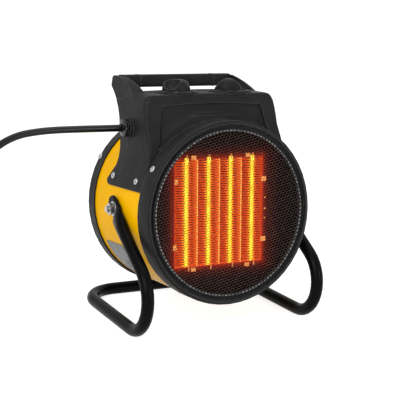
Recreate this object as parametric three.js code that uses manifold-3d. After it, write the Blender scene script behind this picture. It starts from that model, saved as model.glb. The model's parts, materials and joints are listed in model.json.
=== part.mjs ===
import * as THREE from "three";
import { mergeVertices } from "three/addons/utils/BufferGeometryUtils.js";
import Module from "manifold-3d";

// A round industrial fan heater that tilts on a bent tube stand. Sizes are in millimetres and +Z is up.
// The origin is on the floor under the middle of the stand, and the hot air leaves towards -Y.
// The heater's pieces are drawn in the drum's own frame: x to the right, y from the front of the bezel along
// the drum's axis to the rear, and z square to both, with zero on the axis.

const wasm = await Module();
wasm.setup();

// Fits
const gap = 0.3; // between two pieces that seat on each other
const overrun = 4; // how far a cutter runs past what it cuts
const weldDistance = 0.001;
const nearlyUpright = 0.9; // above this share along z, a normal is taken as upright

// Drum: a yellow sheet shell between a moulded bezel in front and a ring at the rear
const bezelRadius = 110;
const bezelDepth = 24.5;
const bezelWall = 2.2;
const lipWidth = 4.8;
const lipRake = 2; // the inner edge of the lip stands this far in front of the outer one
const grilleSeatDepth = 3;
const flangeThickness = 2;
const flangeReach = 12;
const shellWall = 1.2;
const drumLength = 168.2;
const rearRingDepth = 16.9;
const rearFlangeReach = 14;
const edgeRound = 1.2;
const drumTiltDegrees = 5.15;
const roundSides = 48;
const motorSides = 32;
const dialSides = 28;
const hubSides = 24;
const glandSides = 20;
const shaftSides = 16;
const boreSides = 12;
const hexSides = 6;

// Outlet grille: a folded rim and a wire net
const rimGap = 3.6; // between the rim and the lip
const rimWidth = 4.5;
const rimDepth = 3.6;
const netPitchAcross = 20;
const netPitchUp = 15;
const netWire = 1.3;
const netSetback = 1.2; // behind the front of the rim
const netTurnDegrees = 12;

// Rear guard: rings and spokes in one plate
const guardThickness = 2.4;
const guardHubRadius = 20;
const guardEdge = 12.9; // the solid rim round the slots
const guardBar = 3.4;
const guardSlotRings = 5;
const guardSpokes = 4;
const guardArcSteps = 6;

// Heating element: four modules side by side in a frame
const moduleCount = 4;
const moduleWidthShare = 0.273; // of the bezel's radius
const elementHeightShare = 1.155; // of the bezel's radius
const elementDepth = 26;
const elementFront = 26.8;
const elementDrop = 1.5; // its middle below the axis
const elementFrameWall = 2.4;
const heaterBarWidth = 4.8;
const heaterBarTab = 3;
const dividerWidth = 1.4;
const finFoil = 1.6; // along the column's width, where the foil lies nearly level
const finWaves = 15;
const baffleThickness = 1;
const baffleSetback = 1.4; // behind the front of the element

// Fan and motor, between the element and the rear guard
const rotorTipGap = 16.3; // to the shell
const rotorHubRadius = 21;
const rotorDepth = 24;
const bladeCount = 5;
const bladeThickness = 1.6;
const bladeRootChord = 34;
const bladeTipChord = 58;
const bladeRootDegrees = 42;
const bladeTipDegrees = 20;
const motorRadius = 31;
const motorLength = 34;
const motorGap = 3; // between the rotor and the motor
const motorRearGap = 12.5; // to the rear guard
const motorShaftRadius = 3;
const bracketWall = 5;
const bracketThickness = 3;
const bracketArmWidth = 11;
const bracketArms = 4;
const bracketFootLength = 12;

// Tilt pivot: one bolt through each side of the drum
const pivotRise = 1.8; // above the drum's axis
const boltRadius = 4;
const boltHeadRadius = 6.5;
const boltHeadHeight = 3;
const boltEnd = 3.5; // past the nut
const spacerRadius = 9;
const spacerThickness = 1.2;
const washerRadius = 9;
const washerThickness = 1.6;
const nutFlats = 13;
const nutHeight = 5;

// Stand: one bent tube with its ends pressed flat for the bolts
const tubeRadius = 7.6;
const tubeSides = 16;
const floorClearance = 25.3; // under the bezel's radius
const legAngleDegrees = 31.3;
const legBendRadius = 41.5;
const rearBendRadius = 43.7;
const pivotOutset = 3.7; // the tube's centre line outside the bezel's radius, at the pivot
const frontOutset = 5.4; // at the front bend
const rearOutset = 2.7; // at the rear corner
const crossbarOverhang = 4.25; // behind the rear of the level drum
const plateThickness = 3;
const plateHalfWidth = 12.5;
const plateTip = 5.7; // from the bolt to the middle of the round end
const plateFlat = 9.5;
const plateFlare = 40;
const bendStepDegrees = 10.7;

// Control housing: a hollow moulded saddle on top of the drum, with two wings for the handle
const skirtHeightShare = 0.25; // of the bezel's radius
const skirtWall = 1.6;
const wingRise = 48; // above the bezel
const wingHalfWidthShare = 0.727; // of the bezel's radius, at the wings' top
const wingWall = 4.5; // at the top
const wingStep = 0.2; // the wings stand this far inside the box's side walls
const wingRearInset = 11.2; // in front of the drum's rear
const boxFront = 46;
const boxRear = 100;
const boxRise = 28; // its front corners above the bezel
const boxCornerRadius = 8.5;
const cornerSteps = 5; // straight pieces round a front corner of the housing
const frontShares = [0.5, 0, -0.5]; // places of the points between the front corners, from left to right
const boxSideRound = 8; // the rounding of the top along the sides
const boxCrown = 1.8; // the top's rise from the corners to the middle
const boxRake = 2.2; // the top's rise from front to rear
const boxEdge = 2.4; // the rounding of the top along the front
const bandHeight = 10; // the flat front above the scoop
const bandArch = 3; // how much shorter it is in the middle
const scoopRecess = 3; // behind the band
const scoopHalfWidthShare = 0.843; // of the wings' half width
const scoopFlare = 14; // how much wider it is at its foot
const housingWall = 2.6;
const hollowSideWall = 3.1;
const hollowRearWall = 5.2;
const pocketDropShare = 0.39; // of the box's height
const pocketFootShare = 0.23; // of the way from the box to the wings' rear

// Handle and controls
const gripDepth = 18;
const gripHeight = 15.5;
const gripRound = 3.5;
const gripSteps = 5; // in each rounding
const gripRise = 1; // above the wings
const gripRear = 5; // in front of the wings' rear
const knobSpread = 36.2;
const knobPlace = 70.5;
const dialRadius = 26.8;
const dialRise = 2.1;
const dialSink = 1.4;
const dialRimWidth = 4;
const dialRecess = 1;
const dialBevel = dialRecess / 2;
const knobRadius = 17;
const knobHeight = 14;
const knobGap = 0.5;
const knobRidge = 3.6; // the least width of the grip ridge
const knobPocketRadius = 11.5;
const knobPocketRise = 13.2; // the pockets' centres above the knob's foot
const shaftRadius = 3;
const shaftInKnob = 7;
const shaftClearance = 0.8; // round a shaft in the housing
const controlWidth = 30;
const controlDepth = 26;
const controlHeight = 18;
const modeKnobDegrees = 35;
const thermostatKnobDegrees = -29;

// Gland in the left wall, where the cord comes out
const glandPlace = 86;
const glandDrop = 11.8; // below the bezel's top
const glandBossRadius = 12;
const glandBossRise = 3.4;
const glandReach = 9; // into the wall
const glandHexFlats = 19;
const glandHexHeight = 1.8;
const glandThreadRadius = 7;
const glandNutRadius = 10.8;
const glandNutFront = 8.6;
const glandNutLength = 4.2;

// Cord: a free stretch down to the floor, a coil in two layers and a plug
const cordDiameter = 8.5;
const cordSides = 10;
const cordSteps = 30;
const coilInnerRadius = 43;
const coilPitch = 9.2;
const coilLayer = 9.1;
const coilTurns = 1.5; // in each layer
const coilLoopSteps = 24;
const coilSides = 6;
const coilSamples = 600; // where its gap to itself is measured
const coilApart = 5; // diameters along the cord between stretches whose gap counts
const coilTail = 30;
const coilReversal = 0.25; // of a turn, either side of where the coil turns back
const tieThickness = 1;
const tieWidth = 14;
const plugNeck = 22;
const plugLength = 34;
const plugRadius = 13;
const plugWidthShare = 1.35;
const plugNeckShare = 0.75;
const plugEndShare = 0.85;
const pinRadius = 2.4;
const pinLength = 19;
const pinSpacing = 19;
const plugSides = 16;

// The free stretch, from the gland to the coil
const cordRoute = [
  [-101.2, 19.7, 232.9],
  [-120, 19.7, 233],
  [-140, 19.7, 233.2],
  [-165, 19.7, 233.3],
  [-188, 19.7, 233.1],
  [-208, 19.7, 231.9],
  [-228, 19.7, 229],
  [-244, 19.7, 223.2],
  [-258, 19.7, 214.6],
  [-270, 19.7, 203],
  [-280, 19.7, 187],
  [-287, 19.7, 168],
  [-291, 19.7, 147],
  [-293.2, 19.7, 123],
  [-294, 19.7, 98],
  [-294, 19.7, 70],
  [-294, 19.7, 44],
  [-296.9, 19.7, 29.5],
  [-305.1, 19.7, 17],
  [-317.5, 19.7, 8.8],
  [-332, 19.7, 5.7],
  [-342, 19.7, 5.7],
];

// Shares of a length, from one end to the other
const plateEdgeShare = 0.55; // of the half width, where a pressed plate's faces turn to its edge
const roundShare = 0.3; // of a rounded edge, where its middle lies
const tipShares = [0.985, 0.86, 0.6, 0.3];
// Along the flare from plate to tube: how far along, and how far the thickness, width and place have changed
const flareShares = [
  [0.12, 0.5, 0.04, 0.85],
  [0.35, 0.74, 0.24, 0.95],
  [0.65, 0.93, 0.62, 1],
  [1, 1, 1, 1],
];
const bladeShares = [0, 0.3, 0.65, 1];
const scoopFillShare = 0.98; // of the scoop's width
const scoopShares = [0, 0.06, 0.16, 0.3, 0.5, 0.75, 1];
const scoopAcrossShares = [1, 0.8, 0.55, 0.28, 0];
const knobDomeShares = [
  [1, 0],
  [1, 0.2],
  [0.955, 0.5],
  [0.82, 0.78],
  [0.6, 0.94],
  [0.3, 1],
];
// The side walls' line: up from the skirt's foot to the wings' top, and out from there to the foot's width
const wallShares = [
  [0, 1],
  [0.015, 0.975],
  [0.047, 0.925],
  [0.111, 0.814],
  [0.188, 0.674],
  [0.264, 0.566],
  [0.341, 0.488],
  [0.418, 0.442],
  [0.487, 0.426],
  [0.556, 0.419],
  [0.632, 0.411],
  [0.709, 0.391],
  [0.785, 0.333],
  [0.847, 0.252],
  [1, 0],
];
// The box at each level of that line up to its top: front from the bezel to the box front, rear from the
// bezel to the wings' rear, and the front corners' radius as a share of the box's
const housingShares = [
  [0, 0.67, 0.1],
  [0, 0.72, 0.1],
  [0, 0.745, 0.1],
  [0, 0.7, 0.1],
  [0, 0.645, 0.12],
  [0.03, 0.632, 0.2],
  [0.2, 0.64, 0.3],
  [0.34, 0.655, 0.4],
  [0.53, 0.665, 0.45],
  [0.75, 0.679, 0.5],
  [0.86, 0.688, 0.55],
  [0.95, 0.72, 0.65],
  [1, 0.785, 0.85],
];
// The top's rounded edge: down, in from the sides and back from the front
const topEdgeShares = [
  [1, 0, 0],
  [0.6, 0.083, 0],
  [0.3, 0.286, 0],
  [0.1, 0.564, 0.255],
  [0, 1, 1],
];
// Round a wing: along from the bezel to the wings' rear on its inner face and on its outer one, and up from
// the skirt's foot to the wings' top
const wingShares = [
  [0.58, 0.58, 0.52],
  [0.28, 0.36, 0.75],
  [0.33, 0.42, 0.82],
  [0.387, 0.493, 0.862],
  [0.45, 0.55, 0.893],
  [0.546, 0.635, 0.932],
  [0.663, 0.735, 0.966],
  [0.79, 0.84, 0.993],
  [0.985, 0.985, 1],
  [1.005, 1.005, 0.985],
  [0.975, 0.975, 0.906],
  [0.876, 0.876, 0.851],
  [0.769, 0.769, 0.773],
  [0.7, 0.7, 0.7],
  [0.68, 0.68, 0.61],
  [0.675, 0.675, 0.52],
];

// Colours and surfaces
function paint(color, roughness, metalness) {
  return new THREE.MeshStandardMaterial({ color, roughness, metalness });
}
const yellowPaint = paint(0xf7b500, 0.38, 0.1);
const blackPlastic = paint(0x2b2c2d, 0.62, 0);
const tubePaint = paint(0x191919, 0.36, 0.2);
const zinc = paint(0xc4c7c9, 0.3, 0.9);
const steel = paint(0x8d8f92, 0.4, 0.8);
const netSteel = paint(0x4a4442, 0.45, 0.7);
const hotAluminium = paint(0xff5a18, 0.5, 0.3);
const hotBar = paint(0xffb638, 0.5, 0.2);
const hotPlate = paint(0x5a1208, 0.6, 0.4);
const fanPlastic = paint(0x3a3d40, 0.5, 0);
const cordRubber = paint(0x141414, 0.5, 0);

// Derived places that several pieces share
const shellRadius = bezelRadius - bezelWall - gap;
const shellInner = shellRadius - shellWall;
const lipInner = bezelRadius - lipWidth;
const shellFront = grilleSeatDepth + flangeThickness + gap;
const rearFlangeFront = drumLength - flangeThickness;
const guardFront = rearFlangeFront - gap - guardThickness;
const shellRear = guardFront - gap;
const guardRadius = bezelRadius - bezelWall - gap;
const guardPitch = (guardRadius - guardHubRadius - guardEdge + guardBar) / guardSlotRings;
const moduleWidth = bezelRadius * moduleWidthShare;
const elementHeight = bezelRadius * elementHeightShare;
const motorFront = guardFront - motorRearGap - motorLength;
const rotorFront = motorFront - motorGap - rotorDepth;
const rotorRadius = shellInner - rotorTipGap;
const pivotAlong = drumLength / 2;
const pivotHeight = bezelRadius + floorClearance + pivotRise;
const tubeRest = tubeRadius * Math.cos(Math.PI / tubeSides); // from the tube's centre to the flat it lies on
const plateInner = shellRadius + spacerThickness + 2 * gap;
const plateOuter = plateInner + plateThickness;
const washerInner = plateOuter + gap;
const nutInner = washerInner + washerThickness + gap;
const boltOuter = nutInner + nutHeight + boltEnd;
const housingFront = bezelDepth + gap;
const drumCut = shellRadius + gap;
const bezelCut = bezelRadius + gap;
const skirtHeight = bezelRadius * skirtHeightShare;
const wingTop = bezelRadius + wingRise;
const wingHalfWidth = bezelRadius * wingHalfWidthShare;
const wingInner = wingHalfWidth - wingWall;
const cutTop = wingTop + overrun; // where cutters that open upwards end
const wingRear = drumLength - wingRearInset;
const boxTop = bezelRadius + boxRise;
const glandHeight = bezelRadius - glandDrop;
const scoopHalfWidth = wingHalfWidth * scoopHalfWidthShare;
const skirtHalfWidth = Math.sqrt(drumCut ** 2 - skirtHeight ** 2) + skirtWall;
const moduleSpan = moduleCount * moduleWidth;
const dialSeat = boxTop + boxCrown / 2 - dialSink;
const knobFoot = dialSeat + gap + dialSink + dialRise + knobGap;
const tiltRadians = THREE.MathUtils.degToRad(drumTiltDegrees);

// Closed surfaces, joins and cuts

function closedSurface(geometry) {
  const loose = geometry.index ? geometry.toNonIndexed() : geometry;
  const bare = new THREE.BufferGeometry().setAttribute("position", loose.getAttribute("position"));
  const merged = mergeVertices(bare, weldDistance);
  const corners = merged.index.array;
  const kept = [];
  for (let i = 0; i < corners.length; i += 3) {
    const [a, b, c] = [corners[i], corners[i + 1], corners[i + 2]];
    if (a !== b && b !== c && c !== a) kept.push(a, b, c);
  }
  return merged.setIndex(kept);
}

function solidOf(geometry) {
  const surface = closedSurface(geometry);
  const mesh = { numProp: 3, vertProperties: surface.attributes.position.array };
  mesh.triVerts = new Uint32Array(surface.index.array);
  return new wasm.Manifold(new wasm.Mesh(mesh));
}

function geometryOf(solid) {
  const mesh = solid.getMesh();
  const geometry = new THREE.BufferGeometry();
  geometry.setAttribute("position", new THREE.BufferAttribute(new Float32Array(mesh.vertProperties), 3));
  geometry.setIndex(new THREE.BufferAttribute(new Uint32Array(mesh.triVerts), 1));
  const faceted = geometry.toNonIndexed();
  faceted.computeVertexNormals();
  return faceted;
}

const join = (...pieces) => geometryOf(pieces.map(solidOf).reduce((sum, next) => sum.add(next)));
const cut = (piece, ...cutters) =>
  geometryOf(cutters.map(solidOf).reduce((rest, next) => rest.subtract(next), solidOf(piece)));
const common = (one, other) => geometryOf(solidOf(one).intersect(solidOf(other)));

// Shapes

// A profile of [radius, y] points turned about the y axis
function revolve(profile, sides = roundSides) {
  const area = profile.reduce((sum, [r, y], i) => {
    const [nextR, nextY] = profile[(i + 1) % profile.length];
    return sum + r * nextY - nextR * y;
  }, 0);
  const ordered = area < 0 ? [...profile].reverse() : profile;
  const points = [...ordered, ordered[0]].map(([r, y]) => new THREE.Vector2(r, y));
  return new THREE.LatheGeometry(points, sides);
}

// A round bar along one axis of the frame
function rod(axis, radius, from, to, sides, endRadius = radius) {
  const bar = new THREE.CylinderGeometry(endRadius, radius, to - from, sides);
  bar.translate(0, (from + to) / 2, 0);
  if (axis === "x") bar.rotateZ(-Math.PI / 2);
  if (axis === "z") bar.rotateX(Math.PI / 2);
  return bar;
}

function hexBar(axis, flats, from, to) {
  return rod(axis, flats / 2 / Math.cos(Math.PI / hexSides), from, to, hexSides);
}

function block(x0, x1, y0, y1, z0, z1) {
  const box = new THREE.BoxGeometry(x1 - x0, y1 - y0, z1 - z0);
  return box.translate((x0 + x1) / 2, (y0 + y1) / 2, (z0 + z1) / 2);
}

const flatPoints = (points) => points.map(([a, b]) => new THREE.Vector2(a, b));
const shapeOf = (points) => new THREE.Shape(flatPoints(points));
const pathOf = (points) => new THREE.Path(flatPoints(points));

// Points along an arc about zero
function arcPoints(radius, start, end, steps) {
  return Array.from({ length: steps + 1 }, (_, i) => {
    const angle = start + ((end - start) * i) / steps;
    return [radius * Math.cos(angle), radius * Math.sin(angle)];
  });
}

// A shape drawn in x and z, run along y
function alongY(shape, y0, y1, curveSegments = 12) {
  const bar = new THREE.ExtrudeGeometry(shape, { depth: y1 - y0, bevelEnabled: false, curveSegments });
  return bar.rotateX(Math.PI / 2).translate(0, y1, 0);
}

// A shape drawn in y and z, run along x
function alongX(shape, x0, x1, curveSegments = 12) {
  const bar = new THREE.ExtrudeGeometry(shape, { depth: x1 - x0, bevelEnabled: false, curveSegments });
  return bar.rotateX(Math.PI / 2).rotateZ(Math.PI / 2).translate(x0, 0, 0);
}

// A skin over rings of points that follow each other, closed at both ends
function loft(rings) {
  const count = rings[0].length;
  const positions = [];
  const face = (...corners) => corners.forEach((p) => positions.push(p.x, p.y, p.z));
  for (let k = 0; k + 1 < rings.length; k++) {
    for (let i = 0; i < count; i++) {
      const next = (i + 1) % count;
      const [a, b, c, d] = [rings[k][i], rings[k][next], rings[k + 1][next], rings[k + 1][i]];
      face(a, b, c);
      face(a, c, d);
    }
  }
  for (const [ring, last] of [[rings[0], false], [rings[rings.length - 1], true]]) {
    for (const [a, b, c] of capOf(ring)) {
      if (last) face(ring[a], ring[b], ring[c]);
      else face(ring[c], ring[b], ring[a]);
    }
  }
  const geometry = new THREE.BufferGeometry();
  geometry.setAttribute("position", new THREE.Float32BufferAttribute(positions, 3));
  return geometry;
}

// Triangles over one ring, with the ring's own turning sense
function capOf(ring) {
  const normal = new THREE.Vector3();
  ring.forEach((p, i) => normal.add(new THREE.Vector3().crossVectors(p, ring[(i + 1) % ring.length])));
  normal.normalize();
  const across = Math.abs(normal.z) < nearlyUpright ? new THREE.Vector3(0, 0, 1) : new THREE.Vector3(1, 0, 0);
  const u = new THREE.Vector3().crossVectors(across, normal).normalize();
  const v = new THREE.Vector3().crossVectors(normal, u);
  const flat = ring.map((p) => new THREE.Vector2(p.dot(u), p.dot(v)));
  return THREE.ShapeUtils.triangulateShape(flat, []);
}

function named(name, geometry, material) {
  const surface = closedSurface(geometry).toNonIndexed();
  surface.computeVertexNormals();
  const mesh = new THREE.Mesh(surface, material);
  mesh.name = name;
  return mesh;
}

const mirrored = (geometry) => {
  const flipped = closedSurface(geometry).scale(-1, 1, 1);
  const corners = flipped.index.array;
  for (let i = 0; i < corners.length; i += 3) [corners[i], corners[i + 1]] = [corners[i + 1], corners[i]];
  return flipped;
};

// Stand

// Places along the tube's right half, from the round end of its plate to the middle of the crossbar, with
// the pivot at zero: where the centre is, how far the tube is flattened, and half its width upright
function standStations() {
  const angle = THREE.MathUtils.degToRad(legAngleDegrees);
  const along = new THREE.Vector2(Math.cos(angle), Math.sin(angle));
  const pivotX = (plateInner + plateOuter) / 2;
  const frontX = bezelRadius + frontOutset;
  const rearX = bezelRadius + rearOutset;
  const bendZ = tubeRest + legBendRadius - pivotHeight;
  const legFoot = (bendZ + legBendRadius * Math.cos(angle)) / along.y;
  const bendY = legFoot * along.x + legBendRadius * Math.sin(angle);
  const legLength = -legFoot;
  const crossbarY = pivotAlong + crossbarOverhang;
  const floorZ = tubeRest - pivotHeight;
  const stations = [];
  const onLeg = (reach, x, flat, half) => {
    stations.push({ at: new THREE.Vector3(x, -reach * along.x, -reach * along.y), flat, half });
  };
  for (const share of tipShares) {
    onLeg(-plateTip - plateHalfWidth * share, pivotX, 1, plateHalfWidth * Math.sqrt(1 - share ** 2));
  }
  onLeg(-plateTip, pivotX, 1, plateHalfWidth);
  onLeg(plateFlat, pivotX, 1, plateHalfWidth);
  for (const [share, thick, wide, across] of flareShares) {
    const reach = plateFlat + plateFlare * share;
    const lineX = bezelRadius + pivotOutset + ((frontOutset - pivotOutset) * reach) / legLength;
    const half = THREE.MathUtils.lerp(plateHalfWidth, tubeRadius, wide);
    onLeg(reach, THREE.MathUtils.lerp(pivotX, lineX, across), 1 - thick, half);
  }
  const onBend = (x, y, z) => stations.push({ at: new THREE.Vector3(x, y, z), flat: 0, half: tubeRadius });
  const turn = Math.PI - angle;
  const legSteps = Math.round(turn / THREE.MathUtils.degToRad(bendStepDegrees));
  for (let i = 0; i <= legSteps; i++) {
    const swing = Math.PI / 2 + angle + (turn * i) / legSteps;
    onBend(frontX, bendY + legBendRadius * Math.cos(swing), bendZ + legBendRadius * Math.sin(swing));
  }
  const rearSteps = Math.round(Math.PI / 2 / THREE.MathUtils.degToRad(bendStepDegrees));
  const cornerX = rearX - rearBendRadius;
  const cornerY = crossbarY - rearBendRadius;
  for (let i = 0; i <= rearSteps; i++) {
    const swing = (Math.PI / 2 / rearSteps) * i;
    onBend(cornerX + rearBendRadius * Math.cos(swing), cornerY + rearBendRadius * Math.sin(swing), floorZ);
  }
  return { stations, frontY: bendY - legBendRadius - tubeRadius, rearY: crossbarY + tubeRadius };
}

// One section of the tube: round, or pressed to a plate with flat sides
function tubeSection({ at, flat, half }, lateral, upright) {
  const ring = [];
  for (let i = 0; i < tubeSides; i++) {
    const angle = (2 * Math.PI * (i + 0.5)) / tubeSides;
    const [c, s] = [Math.cos(angle), Math.sin(angle)];
    const pressed = (THREE.MathUtils.clamp(c / plateEdgeShare, -1, 1) * plateThickness) / 2;
    const side = THREE.MathUtils.lerp(tubeRadius * c, pressed, flat);
    ring.push(at.clone().addScaledVector(lateral, side).addScaledVector(upright, half * s));
  }
  return ring;
}

function standTube(stations) {
  const mirror = new THREE.Vector3(-1, 1, 1);
  const left = [...stations].reverse().map((s) => ({ ...s, at: s.at.clone().multiply(mirror) }));
  const whole = [...stations, ...left];
  const lateral = new THREE.Vector3(1, 0, 0);
  const rings = whole.map((station, i) => {
    const before = whole[Math.max(i - 1, 0)].at;
    const after = whole[Math.min(i + 1, whole.length - 1)].at;
    const into = station.at.clone().sub(before).normalize();
    const out = after.clone().sub(station.at).normalize();
    const tangent = into.add(out);
    if (station.flat === 1) tangent.x = 0;
    tangent.normalize();
    lateral.addScaledVector(tangent, -lateral.dot(tangent)).normalize();
    return tubeSection(station, lateral, new THREE.Vector3().crossVectors(tangent, lateral));
  });
  return cut(loft(rings), rod("x", boltRadius + gap, -boltOuter, boltOuter, boreSides));
}

// Drum

function drumShell() {
  const shell = revolve([
    [shellInner, shellFront],
    [shellRadius, shellFront],
    [shellRadius, shellRear],
    [shellInner, shellRear],
  ]);
  const bore = rod("x", boltRadius + gap, -bezelRadius, bezelRadius, boreSides);
  bore.translate(0, pivotAlong, pivotRise);
  return cut(shell, bore);
}

function frontBezel() {
  return revolve([
    [bezelRadius - bezelWall, bezelDepth],
    [bezelRadius, bezelDepth],
    [bezelRadius, edgeRound],
    [bezelRadius - edgeRound * roundShare, edgeRound * roundShare],
    [bezelRadius - edgeRound, 0],
    [lipInner + edgeRound, edgeRound * roundShare - lipRake],
    [lipInner, edgeRound - lipRake],
    [lipInner, grilleSeatDepth],
    [bezelRadius - flangeReach, grilleSeatDepth],
    [bezelRadius - flangeReach, grilleSeatDepth + flangeThickness],
    [bezelRadius - bezelWall, grilleSeatDepth + flangeThickness],
  ]);
}

function rearRing() {
  const start = drumLength - rearRingDepth;
  return revolve([
    [bezelRadius - bezelWall, start],
    [bezelRadius, start],
    [bezelRadius, drumLength - edgeRound],
    [bezelRadius - edgeRound, drumLength],
    [bezelRadius - rearFlangeReach, drumLength],
    [bezelRadius - rearFlangeReach, rearFlangeFront],
    [bezelRadius - bezelWall, rearFlangeFront],
  ]);
}

// The rim's outer radius, its front and the net inside it
function frontGrille() {
  const outer = lipInner - rimGap;
  const inner = outer - rimWidth;
  const rear = grilleSeatDepth - gap;
  const front = rear - rimDepth;
  const netRear = front + netSetback + netWire;
  const rim = revolve([
    [inner, rear],
    [inner, front + edgeRound],
    [inner + edgeRound, front],
    [outer - edgeRound, front],
    [outer, front + edgeRound],
    [outer, rear],
  ]);
  const wires = [];
  const reach = outer - edgeRound;
  const wire = (offset, upright) => {
    const half = Math.sqrt(reach ** 2 - (Math.abs(offset) + netWire) ** 2);
    const [low, high] = [offset - netWire / 2, offset + netWire / 2];
    if (upright) wires.push(block(low, high, front + netSetback, netRear, -half, half));
    else wires.push(block(-half, half, front + netSetback, netRear, low, high));
  };
  for (const [pitch, upright] of [[netPitchAcross, true], [netPitchUp, false]]) {
    const side = Math.floor((inner - pitch / 2) / pitch);
    for (let i = -side; i <= side; i++) wire(i * pitch, upright);
  }
  return join(rim, ...wires).rotateY(-THREE.MathUtils.degToRad(netTurnDegrees));
}

function rearGuard() {
  const plate = shapeOf(arcPoints(guardRadius, 0, 2 * Math.PI, roundSides).slice(0, -1));
  const sector = (2 * Math.PI) / guardSpokes;
  for (let ring = 0; ring < guardSlotRings; ring++) {
    const inner = guardHubRadius + ring * guardPitch;
    const outer = inner + guardPitch - guardBar;
    for (let i = 0; i < guardSpokes; i++) {
      const spokeInner = Math.asin(guardBar / 2 / inner);
      const spokeOuter = Math.asin(guardBar / 2 / outer);
      const [start, end] = [i * sector, (i + 1) * sector];
      const near = arcPoints(inner, start + spokeInner, end - spokeInner, guardArcSteps);
      const far = arcPoints(outer, end - spokeOuter, start + spokeOuter, guardArcSteps);
      plate.holes.push(pathOf([...near, ...far]));
    }
  }
  return alongY(plate, guardFront, guardFront + guardThickness);
}

// Heating element

const elementTop = elementHeight / 2 - elementDrop;
const elementFoot = -elementHeight / 2 - elementDrop;
const frameTop = elementTop + gap + elementFrameWall;
const frameFoot = elementFoot - gap - elementFrameWall;
const frameHalf = moduleSpan / 2 + gap + elementFrameWall;

function windowFrame(half, top, foot, wall, front, rear) {
  const outline = shapeOf([[-half, foot], [half, foot], [half, top], [-half, top]]);
  const [x, z1, z0] = [half - wall, top - wall, foot + wall];
  outline.holes.push(pathOf([[-x, z0], [-x, z1], [x, z1], [x, z0]]));
  return alongY(outline, front, rear);
}

function elementFrame() {
  const rear = elementFront + elementDepth;
  return windowFrame(frameHalf, frameTop, frameFoot, elementFrameWall, elementFront, rear);
}

// A plate across the drum that holds the frame in its window and keeps the air from going round it
function bafflePlate() {
  const plate = shapeOf(arcPoints(shellInner - gap, 0, 2 * Math.PI, roundSides).slice(0, -1));
  const [x, z1, z0] = [frameHalf + gap, frameTop + gap, frameFoot - gap];
  plate.holes.push(pathOf([[-x, z0], [-x, z1], [x, z1], [x, z0]]));
  const front = elementFront + baffleSetback;
  return alongY(plate, front, front + baffleThickness);
}

const moduleMiddle = (i) => (i + 0.5) * moduleWidth - moduleSpan / 2;

// A bar with its contact tab at the top, in front of the frame's upper side
function heaterBar(i) {
  const [x0, x1] = [moduleMiddle(i) - heaterBarWidth / 2, moduleMiddle(i) + heaterBarWidth / 2];
  const bar = block(x0, x1, elementFront, elementFront + elementDepth, elementFoot, elementTop);
  const tabFront = elementFront - gap - baffleThickness;
  const [tabFoot, tabTop] = [elementTop - heaterBarTab, elementTop + heaterBarTab];
  const tab = block(x0, x1, tabFront, elementFront + gap, tabFoot, tabTop);
  const relief = block(x0 - gap, x1 + gap, elementFront - gap, frameHalf, elementTop, frameTop);
  return cut(join(bar, tab), relief);
}

function divider(i) {
  const x = (i + 1) * moduleWidth - moduleSpan / 2;
  const [x0, x1] = [x - dividerWidth / 2, x + dividerWidth / 2];
  return block(x0, x1, elementFront, elementFront + elementDepth, elementFoot, elementTop);
}

// A foil folded to and fro between a bar and the divider or frame beside it
function finColumn(i) {
  const middle = moduleMiddle(Math.floor(i / 2));
  const side = i % 2 === 0 ? -1 : 1;
  const last = i === 0 || i === 2 * moduleCount - 1;
  const near = heaterBarWidth / 2 + gap;
  const far = moduleWidth / 2 - gap - (last ? 0 : dividerWidth / 2);
  const [x0, x1] = [middle + side * near, middle + side * far].sort((a, b) => a - b);
  const rise = (elementHeight - 2 * gap) / (2 * finWaves);
  const left = [];
  const right = [];
  for (let k = 0; k <= 2 * finWaves; k++) {
    const x = k % 2 === 0 ? x0 : x1 - finFoil;
    const z = elementFoot + gap + k * rise;
    left.push([x, z]);
    right.push([x + finFoil, z]);
  }
  const outline = shapeOf([...right, ...left.reverse()]);
  return alongY(outline, elementFront + gap, elementFront + elementDepth - gap);
}

// Fan

function fanBlade() {
  const rings = bladeShares.map((share) => {
    const radius = THREE.MathUtils.lerp(rotorHubRadius - bladeThickness, rotorRadius, share);
    const half = THREE.MathUtils.lerp(bladeRootChord, bladeTipChord, share) / 2;
    const pitch = THREE.MathUtils.degToRad(THREE.MathUtils.lerp(bladeRootDegrees, bladeTipDegrees, share));
    const chord = new THREE.Vector3(Math.cos(pitch), Math.sin(pitch), 0);
    const normal = new THREE.Vector3(-Math.sin(pitch), Math.cos(pitch), 0);
    const at = new THREE.Vector3(0, rotorFront + rotorDepth / 2, radius);
    const corner = (a, b) => {
      return at.clone().addScaledVector(chord, a * half).addScaledVector(normal, (b * bladeThickness) / 2);
    };
    const lower = [corner(-1, -1), corner(0, -1 - half / rotorRadius), corner(1, -1)];
    return [...lower, corner(1, 1), corner(0, 1), corner(-1, 1)];
  });
  return loft(rings);
}

function fanRotor() {
  const hub = revolve([
    [motorShaftRadius + gap, rotorFront],
    [rotorHubRadius - edgeRound, rotorFront],
    [rotorHubRadius, rotorFront + edgeRound],
    [rotorHubRadius, rotorFront + rotorDepth],
    [motorShaftRadius + gap, rotorFront + rotorDepth],
  ], hubSides);
  const pitch = (2 * Math.PI) / bladeCount;
  const blades = Array.from({ length: bladeCount }, (_, i) => fanBlade().rotateY(pitch * i));
  return join(hub, ...blades);
}

function fanMotor() {
  return revolve([
    [motorShaftRadius + gap, motorFront],
    [motorRadius - edgeRound, motorFront],
    [motorRadius, motorFront + edgeRound],
    [motorRadius, motorFront + motorLength - edgeRound],
    [motorRadius - edgeRound, motorFront + motorLength],
    [motorShaftRadius + gap, motorFront + motorLength],
  ], motorSides);
}

function motorShaft() {
  const end = motorFront + motorLength / 2;
  return rod("y", motorShaftRadius, rotorFront - motorGap, end, shaftSides);
}

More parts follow.
